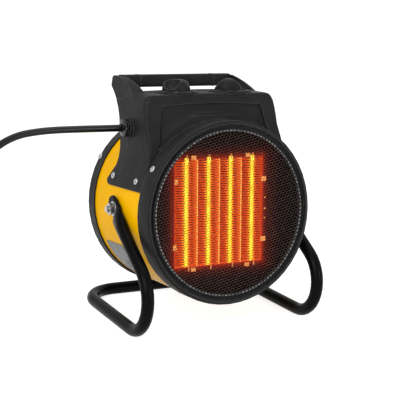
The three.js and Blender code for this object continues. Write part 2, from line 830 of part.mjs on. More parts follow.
// A ring round the motor with arms to the shell
function motorBracket() {
  const front = motorFront + motorLength / 2;
  const ringOuter = motorRadius + gap + bracketWall;
  const ring = revolve([
    [motorRadius + gap, front],
    [ringOuter, front],
    [ringOuter, front + bracketThickness],
    [motorRadius + gap, front + bracketThickness],
  ], motorSides);
  const half = bracketArmWidth / 2;
  const reach = Math.sqrt((shellInner - gap) ** 2 - half ** 2);
  const arms = Array.from({ length: bracketArms }, (_, i) => {
    const arm = block(-half, half, front, front + bracketThickness, ringOuter - bracketWall / 2, reach);
    const foot = block(-half, half, front, front + bracketFootLength, reach - bracketThickness, reach);
    return join(arm, foot).rotateY((2 * Math.PI * (i + 0.5)) / bracketArms);
  });
  return join(ring, ...arms);
}

// Pivot fasteners, drawn on the right side with the bolt's axis at zero

function pivotBolt() {
  const headOuter = Math.sqrt(shellInner ** 2 - (boltHeadRadius + pivotRise) ** 2) - gap;
  const head = rod("x", boltHeadRadius, headOuter - boltHeadHeight, headOuter, shaftSides);
  const shank = rod("x", boltRadius, headOuter - boltHeadHeight / 2, boltOuter, boreSides);
  return join(head, shank);
}

function holed(geometry) {
  return cut(geometry, rod("x", boltRadius + gap, shellRadius, boltOuter + overrun, boreSides));
}

const pivotSpacer = () => holed(rod("x", spacerRadius, shellRadius + gap, plateInner - gap, shaftSides));
const washerOuter = washerInner + washerThickness;
const pivotWasher = () => holed(rod("x", washerRadius, washerInner, washerOuter, shaftSides));
const pivotNut = () => holed(hexBar("x", nutFlats, nutInner, nutInner + nutHeight));

// Control housing

// A side wall's distance from the middle at one height
function wallAt(z, inset = 0) {
  const up = THREE.MathUtils.clamp((z - skirtHeight) / (wingTop - skirtHeight), 0, 1);
  const i = Math.max(1, wallShares.findIndex(([share]) => up <= share));
  const [[low, wide], [high, narrow]] = [wallShares[i - 1], wallShares[i]];
  const out = THREE.MathUtils.mapLinear(up, low, high, wide, narrow);
  return THREE.MathUtils.lerp(wingHalfWidth, skirtHalfWidth, out) - inset;
}

const wallHeights = wallShares.map(([up]) => skirtHeight + (wingTop - skirtHeight) * up);
const acrossShare = (x) => Math.abs(x) / wallAt(boxTop);
const topAt = (x, y) =>
  boxTop + boxCrown * (1 - acrossShare(x) ** 2) + (boxRake * (y - boxFront)) / (boxRear - boxFront);

// The outline at one height, seen from above: wide at the sides, with rounded front corners
function housingOutline(half, front, rear, corner) {
  const points = [];
  for (let i = 0; i <= cornerSteps; i++) {
    const swing = (Math.PI / 2 / cornerSteps) * i;
    points.push([-half + corner * (1 - Math.cos(swing)), front + corner * (1 - Math.sin(swing))]);
  }
  for (const share of frontShares) points.push([-(half - corner) * share, front]);
  for (let i = cornerSteps; i >= 0; i--) {
    const swing = (Math.PI / 2 / cornerSteps) * i;
    points.push([half - corner * (1 - Math.cos(swing)), front + corner * (1 - Math.sin(swing))]);
  }
  points.push([half, rear], [half / 2, rear], [0, rear], [-half / 2, rear], [-half, rear]);
  return points;
}

function housingBox() {
  const rings = housingShares.map(([forward, back, round], level) => {
    const z = wallHeights[level];
    const front = housingFront + (boxFront - housingFront) * forward;
    const rear = housingFront + (wingRear - housingFront) * back;
    const outline = housingOutline(wallAt(z), front, rear, boxCornerRadius * round);
    return outline.map(([x, y]) => new THREE.Vector3(x, y, z));
  });
  for (const [drop, across, back] of topEdgeShares) {
    const half = wallAt(boxTop - boxSideRound * drop) - boxSideRound * across;
    const inset = boxEdge * back;
    const rear = boxRear + boxCornerRadius;
    const outline = housingOutline(half, boxFront + inset, rear, boxCornerRadius - inset);
    rings.push(outline.map(([x, y]) => new THREE.Vector3(x, y, topAt(x, y) - boxSideRound * drop)));
  }
  return loft(rings);
}

// Everything between the two side walls, drawn in by an inset
function betweenWalls(inset, foot = skirtHeight - overrun) {
  const right = [foot, ...wallHeights, cutTop].map((z) => [wallAt(z, inset), z]);
  const left = [...right].reverse().map(([x, z]) => [-x, z]);
  return alongY(shapeOf([...right, ...left]), -overrun, drumLength + overrun);
}

// The right wing: an upright inner face, an outer one in the side wall, and a front edge that slants back
function housingWing() {
  const inner = [];
  const outer = [];
  const depth = wingRear - housingFront;
  for (const [innerAlong, outerAlong, up] of [...wingShares].reverse()) {
    const z = skirtHeight + (wingTop - skirtHeight) * up;
    inner.push(new THREE.Vector3(wingInner, housingFront + depth * innerAlong, z));
    outer.push(new THREE.Vector3(wallAt(z, wingStep), housingFront + depth * outerAlong, z));
  }
  return loft([inner, outer]);
}

// Behind the box, between the wings
function rearPocket() {
  const fold = boxTop - (boxTop - skirtHeight) * pocketDropShare;
  const footY = boxRear + (wingRear - boxRear) * pocketFootShare;
  const far = drumLength + overrun;
  const side = [[boxRear, cutTop], [boxRear, boxTop], [footY, fold], [far, fold], [far, cutTop]];
  return common(alongX(shapeOf(side), -skirtHalfWidth, skirtHalfWidth), betweenWalls(wingWall + wingStep));
}

// The hollow inside the box, open to the drum
function housingHollow() {
  const front = boxFront + scoopRecess + housingWall;
  const rear = boxRear - hollowRearWall;
  const top = boxTop - housingWall;
  const side = [[front, 0], [rear, 0], [rear, top], [front, top]];
  return common(alongX(shapeOf(side), -skirtHalfWidth, skirtHalfWidth), betweenWalls(hollowSideWall, 0));
}

// One cut across the scoop: from the bezel's rear edge up to the band, hollow towards the front
function scoopCurve(share) {
  const foot = Math.sqrt(bezelCut ** 2 - ((scoopHalfWidth + scoopFlare) * share) ** 2);
  const head = boxTop - bandHeight - bandArch * share ** 2;
  const depth = boxFront + scoopRecess - housingFront;
  return scoopShares.map((up) => {
    const x = (scoopHalfWidth + scoopFlare * (1 - up) ** 2) * share;
    const y = housingFront + depth * Math.sqrt(1 - (1 - up) ** 2);
    return new THREE.Vector3(x, y, foot + (head - foot) * up);
  });
}

// What is cut away in front of the scoop
function scoopCutter() {
  const shares = [...scoopAcrossShares.map((share) => -share), ...scoopAcrossShares.slice(0, -1).reverse()];
  const rings = shares.map((share) => {
    const curve = scoopCurve(share);
    const [foot, head] = [curve[0], curve[curve.length - 1]];
    const front = [new THREE.Vector3(head.x, -overrun, head.z), new THREE.Vector3(foot.x, -overrun, foot.z)];
    return [...curve, ...front];
  });
  return loft(rings);
}

// What comes forward to the bezel under the band, before the scoop is cut
function scoopFiller() {
  const right = scoopCurve(scoopFillShare).slice(0, -1).map(({ x, z }) => [x, z]);
  const left = [...right].reverse().map(([x, z]) => [-x, z]);
  return alongY(shapeOf([...right, ...left]), housingFront, boxFront + scoopRecess + housingWall);
}

function controlHousing() {
  const wall = wallAt(glandHeight);
  const boss = rod("x", glandBossRadius, -wall - glandBossRise, -wall + wingWall, glandSides);
  boss.translate(0, glandPlace, glandHeight);
  const body = cut(join(housingBox(), scoopFiller()), scoopCutter(), housingHollow(), rearPocket());
  const drum = rod("y", drumCut, -overrun, drumLength + overrun, roundSides);
  const glandBore = rod("x", glandThreadRadius + gap, -skirtHalfWidth, -wall + glandReach, glandSides);
  glandBore.translate(0, glandPlace, glandHeight);
  const seats = [-knobSpread, knobSpread].flatMap((x) => [
    rod("z", dialRadius + gap, dialSeat, wingTop, dialSides).translate(x, knobPlace, 0),
    rod("z", shaftRadius + shaftClearance, bezelRadius, wingTop, boreSides).translate(x, knobPlace, 0),
  ]);
  return cut(join(body, housingWing(), mirrored(housingWing()), boss), drum, glandBore, ...seats);
}

function handleGrip() {
  const rear = wingRear - gripRear;
  const front = rear - gripDepth;
  const top = wingTop + gripRise;
  const foot = top - gripHeight;
  const section = new THREE.Shape();
  section.moveTo(front + gripRound, foot).lineTo(rear - gripRound, foot);
  section.quadraticCurveTo(rear, foot, rear, foot + gripRound).lineTo(rear, top - gripRound);
  section.quadraticCurveTo(rear, top, rear - gripRound, top).lineTo(front + gripRound, top);
  section.quadraticCurveTo(front, top, front, top - gripRound).lineTo(front, foot + gripRound);
  section.quadraticCurveTo(front, foot, front + gripRound, foot);
  return alongX(section, gap - wingInner, wingInner - gap, gripSteps);
}

// Controls, drawn on their own axis

function dial() {
  const foot = dialSeat + gap;
  const top = foot + dialSink + dialRise;
  return revolve([
    [shaftRadius + gap, foot],
    [dialRadius, foot],
    [dialRadius, top - dialBevel],
    [dialRadius - dialBevel, top],
    [dialRadius - dialRimWidth, top],
    [dialRadius - dialRimWidth, top - dialRecess],
    [shaftRadius + gap, top - dialRecess],
  ], dialSides).rotateX(Math.PI / 2);
}

// A dome with a round pocket in each side, which leaves a ridge to turn it by
function knob() {
  const outline = knobDomeShares.map(([out, up]) => [knobRadius * out, knobFoot + knobHeight * up]);
  const profile = [[0, knobFoot], ...outline, [0, knobFoot + knobHeight]];
  const dome = revolve(profile, hubSides).rotateX(Math.PI / 2);
  const offset = knobRidge / 2 + knobPocketRadius;
  const pockets = [-1, 1].map((side) => {
    const pocket = new THREE.SphereGeometry(knobPocketRadius, 14, 10).rotateX(Math.PI / 2);
    return pocket.translate(side * offset, 0, knobFoot + knobPocketRise);
  });
  const bore = rod("z", shaftRadius + gap, knobFoot - overrun, knobFoot + shaftInKnob + gap, shaftSides);
  return cut(dome, ...pockets, bore);
}

const controlTop = boxTop - housingWall - gap;

function controlBody() {
  const [x, y] = [controlWidth / 2, controlDepth / 2];
  return block(-x, x, -y, y, controlTop - controlHeight, controlTop);
}

function controlShaft() {
  return rod("z", shaftRadius, controlTop + gap, knobFoot + shaftInKnob, shaftSides);
}

// Gland, drawn on the cord's axis with its seat on the boss

const glandSeat = wallAt(glandHeight) + glandBossRise + gap;
const glandHexFront = glandSeat + glandHexHeight;
const glandEnd = glandHexFront + gap + glandNutLength;

function glandBody() {
  const hex = hexBar("x", glandHexFlats, -glandHexFront, -glandSeat);
  return join(hex, rod("x", glandThreadRadius, -glandSeat - gap, -glandSeat + glandReach, glandSides));
}

function glandNut() {
  const foot = glandHexFront + gap;
  const middle = foot + glandNutLength / 2;
  const skirt = rod("x", glandNutRadius, -middle, -foot, boreSides);
  return join(skirt, rod("x", glandNutFront, -glandEnd, -middle + gap, boreSides, glandNutRadius));
}

// Cord

function tubeAlong(path, radius, steps, sides) {
  const section = shapeOf(arcPoints(radius, 0, 2 * Math.PI, sides).slice(0, -1));
  return new THREE.ExtrudeGeometry(section, { steps, extrudePath: path, bevelEnabled: false });
}

const cordPoint = ([x, y, z]) => new THREE.Vector3(x, y, z);
const coilStart = cordPoint(cordRoute[cordRoute.length - 1]).sub(new THREE.Vector3(gap, 0, 0));
const coilOuter = coilInnerRadius + coilPitch * coilTurns;

function cordLead() {
  const curve = new THREE.CatmullRomCurve3(cordRoute.map(cordPoint));
  return tubeAlong(curve, cordDiameter / 2, cordSteps, cordSides);
}

// Two flat spirals, one on the other: inwards on the floor, a climb in the half turn where it reverses, and
// outwards on top. It starts and ends with a straight run towards -X.
class CoilCurve extends THREE.Curve {
  constructor() {
    super();
    this.straight = cordDiameter;
    this.arc = 2 * Math.PI * (coilInnerRadius + (coilPitch * coilTurns) / 2) * 2 * coilTurns;
    this.whole = this.straight + this.arc + coilTail;
  }
  getPoint(t, target = new THREE.Vector3()) {
    const along = t * this.whole;
    const centre = new THREE.Vector3(coilStart.x - this.straight, coilStart.y - coilOuter, coilStart.z);
    if (along < this.straight) return target.set(coilStart.x - along, coilStart.y, coilStart.z);
    const past = along - this.straight - this.arc;
    if (past > 0) return target.set(centre.x - past, coilStart.y, coilStart.z + coilLayer);
    const turns = ((along - this.straight) / this.arc) * 2 * coilTurns - coilTurns;
    const eased = (turns ** 2 / coilReversal + coilReversal) / 2;
    const away = Math.abs(turns) < coilReversal ? eased : Math.abs(turns);
    const radius = coilInnerRadius + coilPitch * away;
    const angle = Math.PI / 2 + 2 * Math.PI * (turns + coilTurns);
    const climb = THREE.MathUtils.smoothstep(turns, -coilReversal, coilReversal) * coilLayer;
    const [x, y] = [centre.x + radius * Math.cos(angle), centre.y + radius * Math.sin(angle)];
    return target.set(x, y, centre.z + climb);
  }
}

const coilCurve = new CoilCurve();

// The least gap between two stretches of the coil that lie over a few diameters apart along the cord
function coilLeastGap() {
  const points = coilCurve.getSpacedPoints(coilSamples);
  const step = coilCurve.getLength() / coilSamples;
  const skip = Math.ceil((coilApart * cordDiameter) / step);
  let least = Infinity;
  points.forEach((p, i) => points.slice(i + skip).forEach((q) => (least = Math.min(least, p.distanceTo(q)))));
  return least - cordDiameter;
}

function cordCoil() {
  const steps = Math.round((2 * coilTurns * coilLoopSteps * coilCurve.whole) / coilCurve.arc);
  return tubeAlong(coilCurve, cordDiameter / 2, steps, coilSides);
}

// A band round all turns, across the coil's left side
function coilTie() {
  const inner = coilInnerRadius - cordDiameter / 2 - gap;
  const outer = coilOuter + cordDiameter / 2 + gap;
  const [low, high] = [-cordDiameter / 2 - gap, coilLayer + cordDiameter / 2 + gap];
  const band = shapeOf([
    [inner - tieThickness, low - tieThickness],
    [outer + tieThickness, low - tieThickness],
    [outer + tieThickness, high + tieThickness],
    [inner - tieThickness, high + tieThickness],
  ]);
  band.holes.push(pathOf([[inner, low], [inner, high], [outer, high], [outer, low]]));
  const ring = alongY(band, -tieWidth / 2, tieWidth / 2).rotateZ(Math.PI);
  return ring.translate(coilStart.x - cordDiameter, coilStart.y - coilOuter, coilStart.z);
}

// A two-pin plug with its tapered neck towards the cord
function plug() {
  const start = coilStart.x - cordDiameter - coilTail - gap;
  const neckEnd = start - plugNeck;
  const bodyEnd = neckEnd - plugLength;
  const neckTip = cordDiameter / 2 + edgeRound;
  const neck = rod("x", plugRadius * plugNeckShare, neckEnd - gap, start, plugSides, neckTip);
  const body = rod("x", plugRadius, bodyEnd, neckEnd, plugSides, plugRadius * plugEndShare);
  body.scale(1, plugWidthShare, 1);
  const pins = [-1, 1].map((side) => {
    const pin = rod("x", pinRadius, bodyEnd - pinLength, bodyEnd + gap, boreSides);
    return pin.translate(0, (side * pinSpacing) / 2, 0);
  });
  return join(neck, body, ...pins).translate(0, coilStart.y, coilStart.z + coilLayer);
}

// Assembly

const part = new THREE.Group();
const { stations, frontY, rearY } = standStations();
const pivotY = -(frontY + rearY) / 2;

const stand = new THREE.Group();
stand.position.set(0, pivotY, pivotHeight);
stand.add(named("stand_tube", standTube(stations), tubePaint));
part.add(stand);

// The heater turns about its pivot bolts, which pass just over the drum's axis at half its length
const heater = new THREE.Group();
heater.position.set(0, pivotY, pivotHeight);
heater.rotation.x = -tiltRadians;
part.add(heater);
for (const [side, place] of [["right", (g) => g], ["left", mirrored]]) {
  heater.add(named("pivot_spacer_" + side, place(pivotSpacer()), blackPlastic));
  heater.add(named("pivot_washer_" + side, place(pivotWasher()), zinc));
  heater.add(named("pivot_nut_" + side, place(pivotNut()), zinc));
  heater.add(named("pivot_bolt_" + side, place(pivotBolt()), zinc));
}

const drum = new THREE.Group();
drum.position.set(0, -pivotAlong, -pivotRise);
heater.add(drum);
drum.add(named("drum_shell", drumShell(), yellowPaint));
drum.add(named("front_bezel", frontBezel(), blackPlastic));
drum.add(named("front_grille", frontGrille(), netSteel));
drum.add(named("rear_ring", rearRing(), blackPlastic));
drum.add(named("rear_grille", rearGuard(), blackPlastic));
drum.add(named("baffle_plate", bafflePlate(), hotPlate));
drum.add(named("element_frame", elementFrame(), hotAluminium));
for (let i = 0; i < moduleCount; i++) drum.add(named("ptc_bar_" + (i + 1), heaterBar(i), hotBar));
for (let i = 0; i < 2 * moduleCount; i++) {
  drum.add(named("fin_column_" + (i + 1), finColumn(i), hotAluminium));
}
for (let i = 0; i + 1 < moduleCount; i++) {
  drum.add(named("divider_" + (i + 1), divider(i), hotAluminium));
}
drum.add(named("fan_rotor", fanRotor(), fanPlastic));
drum.add(named("motor_shaft", motorShaft(), steel));
drum.add(named("fan_motor", fanMotor(), steel));
drum.add(named("motor_bracket", motorBracket(), steel));
drum.add(named("control_housing", controlHousing(), blackPlastic));
drum.add(named("handle_grip", handleGrip(), blackPlastic));

const controls = [["mode", -knobSpread, modeKnobDegrees], ["thermostat", knobSpread, thermostatKnobDegrees]];
for (const [name, x, turn] of controls) {
  const control = new THREE.Group();
  control.position.set(x, knobPlace, 0);
  control.add(named(name + "_dial", dial(), blackPlastic));
  control.add(named(name + "_body", controlBody(), steel));
  control.add(named(name + "_shaft", controlShaft(), steel));
  const turned = named(name + "_knob", knob(), blackPlastic);
  turned.rotation.z = THREE.MathUtils.degToRad(turn);
  control.add(turned);
  drum.add(control);
}

const gland = new THREE.Group();
gland.position.set(0, glandPlace, glandHeight);
gland.add(named("gland_body", glandBody(), blackPlastic));
gland.add(named("gland_nut", glandNut(), blackPlastic));
drum.add(gland);

part.add(named("cord", cordLead(), cordRubber));
part.add(named("cord_coil", cordCoil(), cordRubber));
part.add(named("coil_tie", coilTie(), cordRubber));
part.add(named("plug", plug(), cordRubber));

console.log("least gap of the coil to itself: " + coilLeastGap().toFixed(2) + " mm");

export default part;
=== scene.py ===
import json
import math
import bpy
from mathutils import Matrix, Vector
from mathutils.bvhtree import BVHTree


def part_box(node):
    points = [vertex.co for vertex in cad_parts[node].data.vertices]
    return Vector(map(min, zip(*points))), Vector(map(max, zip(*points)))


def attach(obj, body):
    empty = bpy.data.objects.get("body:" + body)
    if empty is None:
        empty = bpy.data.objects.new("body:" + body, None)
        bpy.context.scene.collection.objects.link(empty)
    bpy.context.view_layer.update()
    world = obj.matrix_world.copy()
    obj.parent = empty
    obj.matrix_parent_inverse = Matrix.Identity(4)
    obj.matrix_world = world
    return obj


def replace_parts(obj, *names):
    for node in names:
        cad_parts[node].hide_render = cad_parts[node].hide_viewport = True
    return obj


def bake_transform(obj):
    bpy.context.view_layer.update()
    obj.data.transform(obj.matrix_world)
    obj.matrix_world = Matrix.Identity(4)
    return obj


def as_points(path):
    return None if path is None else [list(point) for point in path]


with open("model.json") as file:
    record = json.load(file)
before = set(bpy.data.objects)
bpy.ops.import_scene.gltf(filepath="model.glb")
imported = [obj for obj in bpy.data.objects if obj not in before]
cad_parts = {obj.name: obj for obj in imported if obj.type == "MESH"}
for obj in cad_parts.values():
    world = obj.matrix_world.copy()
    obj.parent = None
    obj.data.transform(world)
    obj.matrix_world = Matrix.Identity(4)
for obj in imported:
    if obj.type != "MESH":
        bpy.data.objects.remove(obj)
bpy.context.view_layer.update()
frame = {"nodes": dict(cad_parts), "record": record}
MM = 0.001

# The drum's frame: x to the right, y along the axis from the front of the bezel, z up, all in mm

TILT = math.radians(5.15)
PIVOT = Vector(frame["record"]["behaviour"]["joints"][0]["pos_m"])
AXIS_DROP = 1.8
PIVOT_DEPTH = 84.1
DRUM = (Matrix.Translation(PIVOT) @ Matrix.Rotation(-TILT, 4, "X")
        @ Matrix.Translation(Vector((0, -PIVOT_DEPTH, -AXIS_DROP)) * MM) @ Matrix.Scale(MM, 4))
FLAT = Matrix.Scale(MM, 4)
DRUM_AXIS = (0, 1, 0)


def new_object(name, data):
    obj = bpy.data.objects.new(name, data)
    bpy.context.scene.collection.objects.link(obj)
    return obj


# Camera, at the photograph's viewing angle

FRAME_PIXELS = 400
FOCAL_PIXELS = 1183.7
FRAME_MOVE_PIXELS = 0.38
SENSOR_WIDTH = 36
CAMERA_PLACE = (-0.69174, -1.24706, 0.46378)
CAMERA_AZIMUTH = math.radians(-29.02)
CAMERA_ELEVATION = math.radians(12.71)
CAMERA_ROLL = math.radians(2.86)


def make_camera():
    away = math.cos(CAMERA_ELEVATION)
    back = Vector((math.sin(CAMERA_AZIMUTH) * away, -math.cos(CAMERA_AZIMUTH) * away, math.sin(CAMERA_ELEVATION)))
    right = Vector((math.cos(CAMERA_AZIMUTH), math.sin(CAMERA_AZIMUTH), 0))
    up = back.cross(right)
    level = right * math.cos(CAMERA_ROLL) + up * math.sin(CAMERA_ROLL)
    lift = up * math.cos(CAMERA_ROLL) - right * math.sin(CAMERA_ROLL)
    camera = new_object("camera", bpy.data.cameras.new("camera"))
    camera.matrix_world = Matrix.Translation(CAMERA_PLACE) @ Matrix((level, lift, back)).transposed().to_4x4()
    camera.data.sensor_fit = "HORIZONTAL"
    camera.data.sensor_width = SENSOR_WIDTH
    camera.data.lens = SENSOR_WIDTH * FOCAL_PIXELS / FRAME_PIXELS
    camera.data.shift_x = -FRAME_MOVE_PIXELS / FRAME_PIXELS
    camera.data.shift_y = FRAME_MOVE_PIXELS / FRAME_PIXELS
    camera.data.clip_start = 0.05
    camera.data.clip_end = 200
    bpy.context.scene.camera = camera


make_camera()

# Materials


def linear(*levels):
    """A colour given as display levels from 0 to 255, in the shader's linear values"""
    shares = [level / 255 for level in levels]
    return tuple(s / 12.92 if s <= 0.04045 else ((s + 0.055) / 1.055) ** 2.4 for s in shares)


def shade(colour, factor):
    return tuple(min(1.0, level * factor) for level in colour)


class Tree:
    """A short way to add and link shader nodes"""

    def __init__(self, tree):
        self.tree = tree

    def add(self, kind, **inputs):
        node = self.tree.nodes.new(kind)
        for name, value in inputs.items():
            self.set(node.inputs[name], value)
        return node

    def set(self, socket, value):
        if isinstance(value, bpy.types.NodeSocket):
            self.tree.links.new(value, socket)
        else:
            socket.default_value = value

    def paint(self, socket, colour):
        self.set(socket, colour if isinstance(colour, bpy.types.NodeSocket) else (*colour, 1))

    def math(self, operation, *values):
        node = self.tree.nodes.new("ShaderNodeMath")
        node.operation = operation
        for socket, value in zip(node.inputs, values):
            self.set(socket, value)
        return node.outputs[0]

    def seen(self):
        """1 where the camera looks, also by way of a reflection or through glass"""
        rays = self.add("ShaderNodeLightPath").outputs
        mirrored = self.math("MAXIMUM", rays["Is Camera Ray"], rays["Is Glossy Ray"])
        return self.math("MAXIMUM", mirrored, rays["Is Transmission Ray"])


class Nodes(Tree):
    """The nodes of one material"""

    def __init__(self, name):
        self.material = bpy.data.materials.new(name)
        self.material.use_nodes = True
        super().__init__(self.material.node_tree)
        self.shader = self.tree.nodes["Principled BSDF"]
        self.place = self.add("ShaderNodeTexCoord").outputs["Object"]

    def times(self, a, b):
        return self.math("MULTIPLY", a, b)

    def distance(self, across, upright):
        return self.math("SQRT", self.math("ADD", self.times(across, across), self.times(upright, upright)))

    def fade(self, away, reach):
        """1 where away is zero, and smaller by a factor of e for each reach"""
        return self.math("EXPONENT", self.math("DIVIDE", away, -reach))

    def span(self, value, low, high, to_low, to_high):
        node = self.add("ShaderNodeMapRange")
        for socket, limit in zip(node.inputs, (value, low, high, to_low, to_high)):
            self.set(socket, limit)
        return node.outputs[0]

    def noise(self, scale, detail, rough=0.5):
        node = self.add("ShaderNodeTexNoise", Vector=self.place, Scale=scale, Detail=detail, Roughness=rough)
        return node.outputs["Fac"]

    def patches(self, scale, detail, low, high, reach=0.2):
        """Noise spread from low to high, from reach under its middle to reach over it"""
        return self.span(self.noise(scale, detail), 0.5 - reach, 0.5 + reach, low, high)

    def ramp(self, value, *stops):
        node = self.add("ShaderNodeValToRGB", Fac=value)
        ramp = node.color_ramp
        while len(ramp.elements) < len(stops):
            ramp.elements.new(0.5)
        for element, (at, colour) in zip(ramp.elements, stops):
            element.position = at
            element.color = (*colour, 1)
        return node.outputs["Color"]

    def tones(self, scale, detail, low, high, reach=0.2):
        """Noise coloured from low to high, from reach under its middle to reach over it"""
        return self.ramp(self.noise(scale, detail), (0.5 - reach, low), (0.5 + reach, high))

    def mix(self, share, first, second):
        """From the first colour to the second as share goes from 0 to 1"""
        node = self.tree.nodes.new("ShaderNodeMix")
        node.data_type = "RGBA"
        self.set(node.inputs[0], share)
        self.paint(node.inputs[6], first)
        self.paint(node.inputs[7], second)
        return node.outputs[2]

    def rounded(self, radius, samples):
        """The normal that the surface would have with its edges rounded"""
        bevel = self.add("ShaderNodeBevel", Radius=radius)
        bevel.samples = samples
        return bevel.outputs[0]

    def edges(self, radius):
        """1 along sharp edges and 0 on the faces between them"""
        node = self.tree.nodes.new("ShaderNodeVectorMath")
        node.operation = "DOT_PRODUCT"
        self.set(node.inputs[0], self.rounded(radius, 6))
        self.set(node.inputs[1], self.add("ShaderNodeNewGeometry").outputs["Normal"])
        return self.span(node.outputs["Value"], EDGE_STARTS, EDGE_FULL, 0.0, 1.0)

    def bump(self, height, strength, depth, edge=0.0):
        node = self.add("ShaderNodeBump", Height=height, Strength=strength, Distance=depth)
        if edge:
            self.set(node.inputs["Normal"], self.rounded(edge, 4))
        self.set(self.shader.inputs["Normal"], node.outputs[0])

    def glow(self, colour, strength):
        self.paint(self.shader.inputs["Emission Color"], colour)
        self.set(self.shader.inputs["Emission Strength"], strength)

    def finish(self, colour, rough, metallic=0.0, specular=0.25):
        self.paint(self.shader.inputs["Base Color"], colour)
        self.set(self.shader.inputs["Roughness"], rough)
        self.shader.inputs["Metallic"].default_value = metallic
        self.shader.inputs["Specular IOR Level"].default_value = specular
        return self.material


# The painted edge highlight starts where the rounded normal leans this far from the face's own, as the cosine
# between them

EDGE_STARTS, EDGE_FULL = 0.94, 0.82
EDGE_HIGHLIGHT = 0.15


def make_plastic(name, colour, rough, grain=1500, depth=0.00012, edge=0.0009, specular=0.2):
    """Moulded plastic with a fine spark-eroded grain, rubbed a little smoother in places"""
    nodes = Nodes(name)
    tone = nodes.ramp(nodes.noise(26, 4), (0.3, shade(colour, 0.86)), (0.5, colour), (0.72, shade(colour, 1.16)))
    nodes.bump(nodes.noise(grain, 3, rough=0.65), 0.35, depth, edge)
    if edge:
        # Painted highlight: sharp edges, concave ones too, are made lighter, as edges catching the light would look
        tone = nodes.mix(nodes.edges(edge), tone, tuple(level + EDGE_HIGHLIGHT for level in colour))
    return nodes.finish(tone, nodes.patches(60, 3, rough - 0.06, rough + 0.07), specular=specular)


# The drum's paint is outside this radius and a near-black colour inside it, with a short step between, in metres

INSIDE_RADIUS = 0.1067
INSIDE_STEP = 0.0002


def make_powder_coat(name, colour, rough, edge=0.0006, specular=0.2, inside_colour=None):
    """Powder-coated sheet: a faint orange peel over slow waves in the metal"""
    nodes = Nodes(name)
    tone = nodes.ramp(nodes.noise(14, 3), (0.3, shade(colour, 0.93)), (0.5, colour), (0.7, shade(colour, 1.05)))
    waves = nodes.times(nodes.noise(16, 1), 5.0)
    nodes.bump(nodes.math("ADD", nodes.noise(900, 2), waves), 0.22, 0.00012, edge)
    if inside_colour:
        x, _, z = drum_place(nodes)
        radius = nodes.distance(x, z)
        outer = nodes.span(radius, INSIDE_RADIUS - INSIDE_STEP, INSIDE_RADIUS + INSIDE_STEP, 0.0, 1.0)
        tone = nodes.mix(outer, inside_colour, tone)
    return nodes.finish(tone, nodes.patches(120, 3, rough - 0.05, rough + 0.06), specular=specular)


def make_metal(name, colour, rough):
    nodes = Nodes(name)
    tone = nodes.ramp(nodes.noise(300, 4), (0.3, shade(colour, 0.65)), (0.5, colour), (0.7, shade(colour, 1.08)))
    nodes.bump(nodes.noise(1800, 3), 0.25, 0.00008, 0.0003)
    return nodes.finish(tone, nodes.patches(700, 3, rough - 0.08, rough + 0.12), metallic=1.0)


def drum_place(nodes):
    """The shading point in the drum's frame, in metres, as three sockets"""
    moved = nodes.add("ShaderNodeMapping", Vector=nodes.place, Location=-PIVOT)
    axis_place = (0, PIVOT_DEPTH * MM, AXIS_DROP * MM)
    turned = nodes.add("ShaderNodeMapping", Vector=moved.outputs[0], Location=axis_place, Rotation=(TILT, 0, 0))
    return nodes.add("ShaderNodeSeparateXYZ", Vector=turned.outputs[0]).outputs


# The heating element as its glow sees it, in metres in the drum's frame

ELEMENT_HALF_WIDTH, ELEMENT_HALF_HEIGHT = 0.0595, 0.0635
ELEMENT_DROP = 0.0015
BAR_PITCH = 0.03
BAR_HALF_WIDTH = 0.0024
BAR_FRONT, BAR_DARK_FROM = 0.0262, 0.0290
FOIL_FRONT, FOIL_DARK_FROM = 0.0270, 0.0335
FINE_GRAIN = 0.0001

# Glow colours by heat, each from a share of the heat on; the plate's and the net's are painted light from the
# element, by nearness to it

PLATE_PAINTED_LIGHT = ((0.0, (0.05, 0.0, 0.0)), (0.45, (0.25, 0.008, 0.0)), (1.0, (1.0, 0.07, 0.0)))
FOIL_GLOW = ((0.0, (0.06, 0.0, 0.0)), (0.2, (0.42, 0.01, 0.001)), (0.45, (0.95, 0.068, 0.005)),
             (0.7, (1.0, 0.12, 0.008)), (1.0, (1.0, 0.36, 0.02)))
BAR_GLOW = ((0.0, (0.10, 0.002, 0.0)), (0.35, (1.0, 0.22, 0.006)), (0.6, (1.0, 0.58, 0.02)),
            (1.0, (1.0, 0.92, 0.08)))
RIB_GLOW = ((0.0, (0.35, 0.01, 0.0)), (0.35, (0.95, 0.07, 0.006)), (0.7, (1.0, 0.26, 0.03)),
            (1.0, (1.0, 0.52, 0.12)))
FRAME_GLOW = ((0.0, (0.09, 0.0, 0.0)), (0.35, (0.38, 0.008, 0.0)), (0.75, (0.95, 0.09, 0.01)),
              (1.0, (1.0, 0.30, 0.10)))
NET_PAINTED_LIGHT = ((0.0, (0.02, 0.0, 0.0)), (1.0, (0.8, 0.07, 0.01)))


def beyond(nodes, place, half):
    """How far a place is more than half to either side of zero"""
    return nodes.math("MAXIMUM", nodes.math("SUBTRACT", nodes.math("ABSOLUTE", place), half), 0.0)


def away_from_element(nodes):
    """How far the shading point is outside the element's outline, in metres"""
    x, _, z = drum_place(nodes)
    across = beyond(nodes, x, ELEMENT_HALF_WIDTH)
    upright = beyond(nodes, nodes.math("ADD", z, ELEMENT_DROP), ELEMENT_HALF_HEIGHT)
    return nodes.distance(across, upright)


def from_bar(nodes, x):
    """How far the shading point is from the middle of the nearest heater bar, in metres"""
    along = nodes.math("MODULO", nodes.math("ADD", x, 2 * BAR_PITCH), BAR_PITCH)
    return nodes.math("ABSOLUTE", nodes.math("SUBTRACT", along, BAR_PITCH / 2))


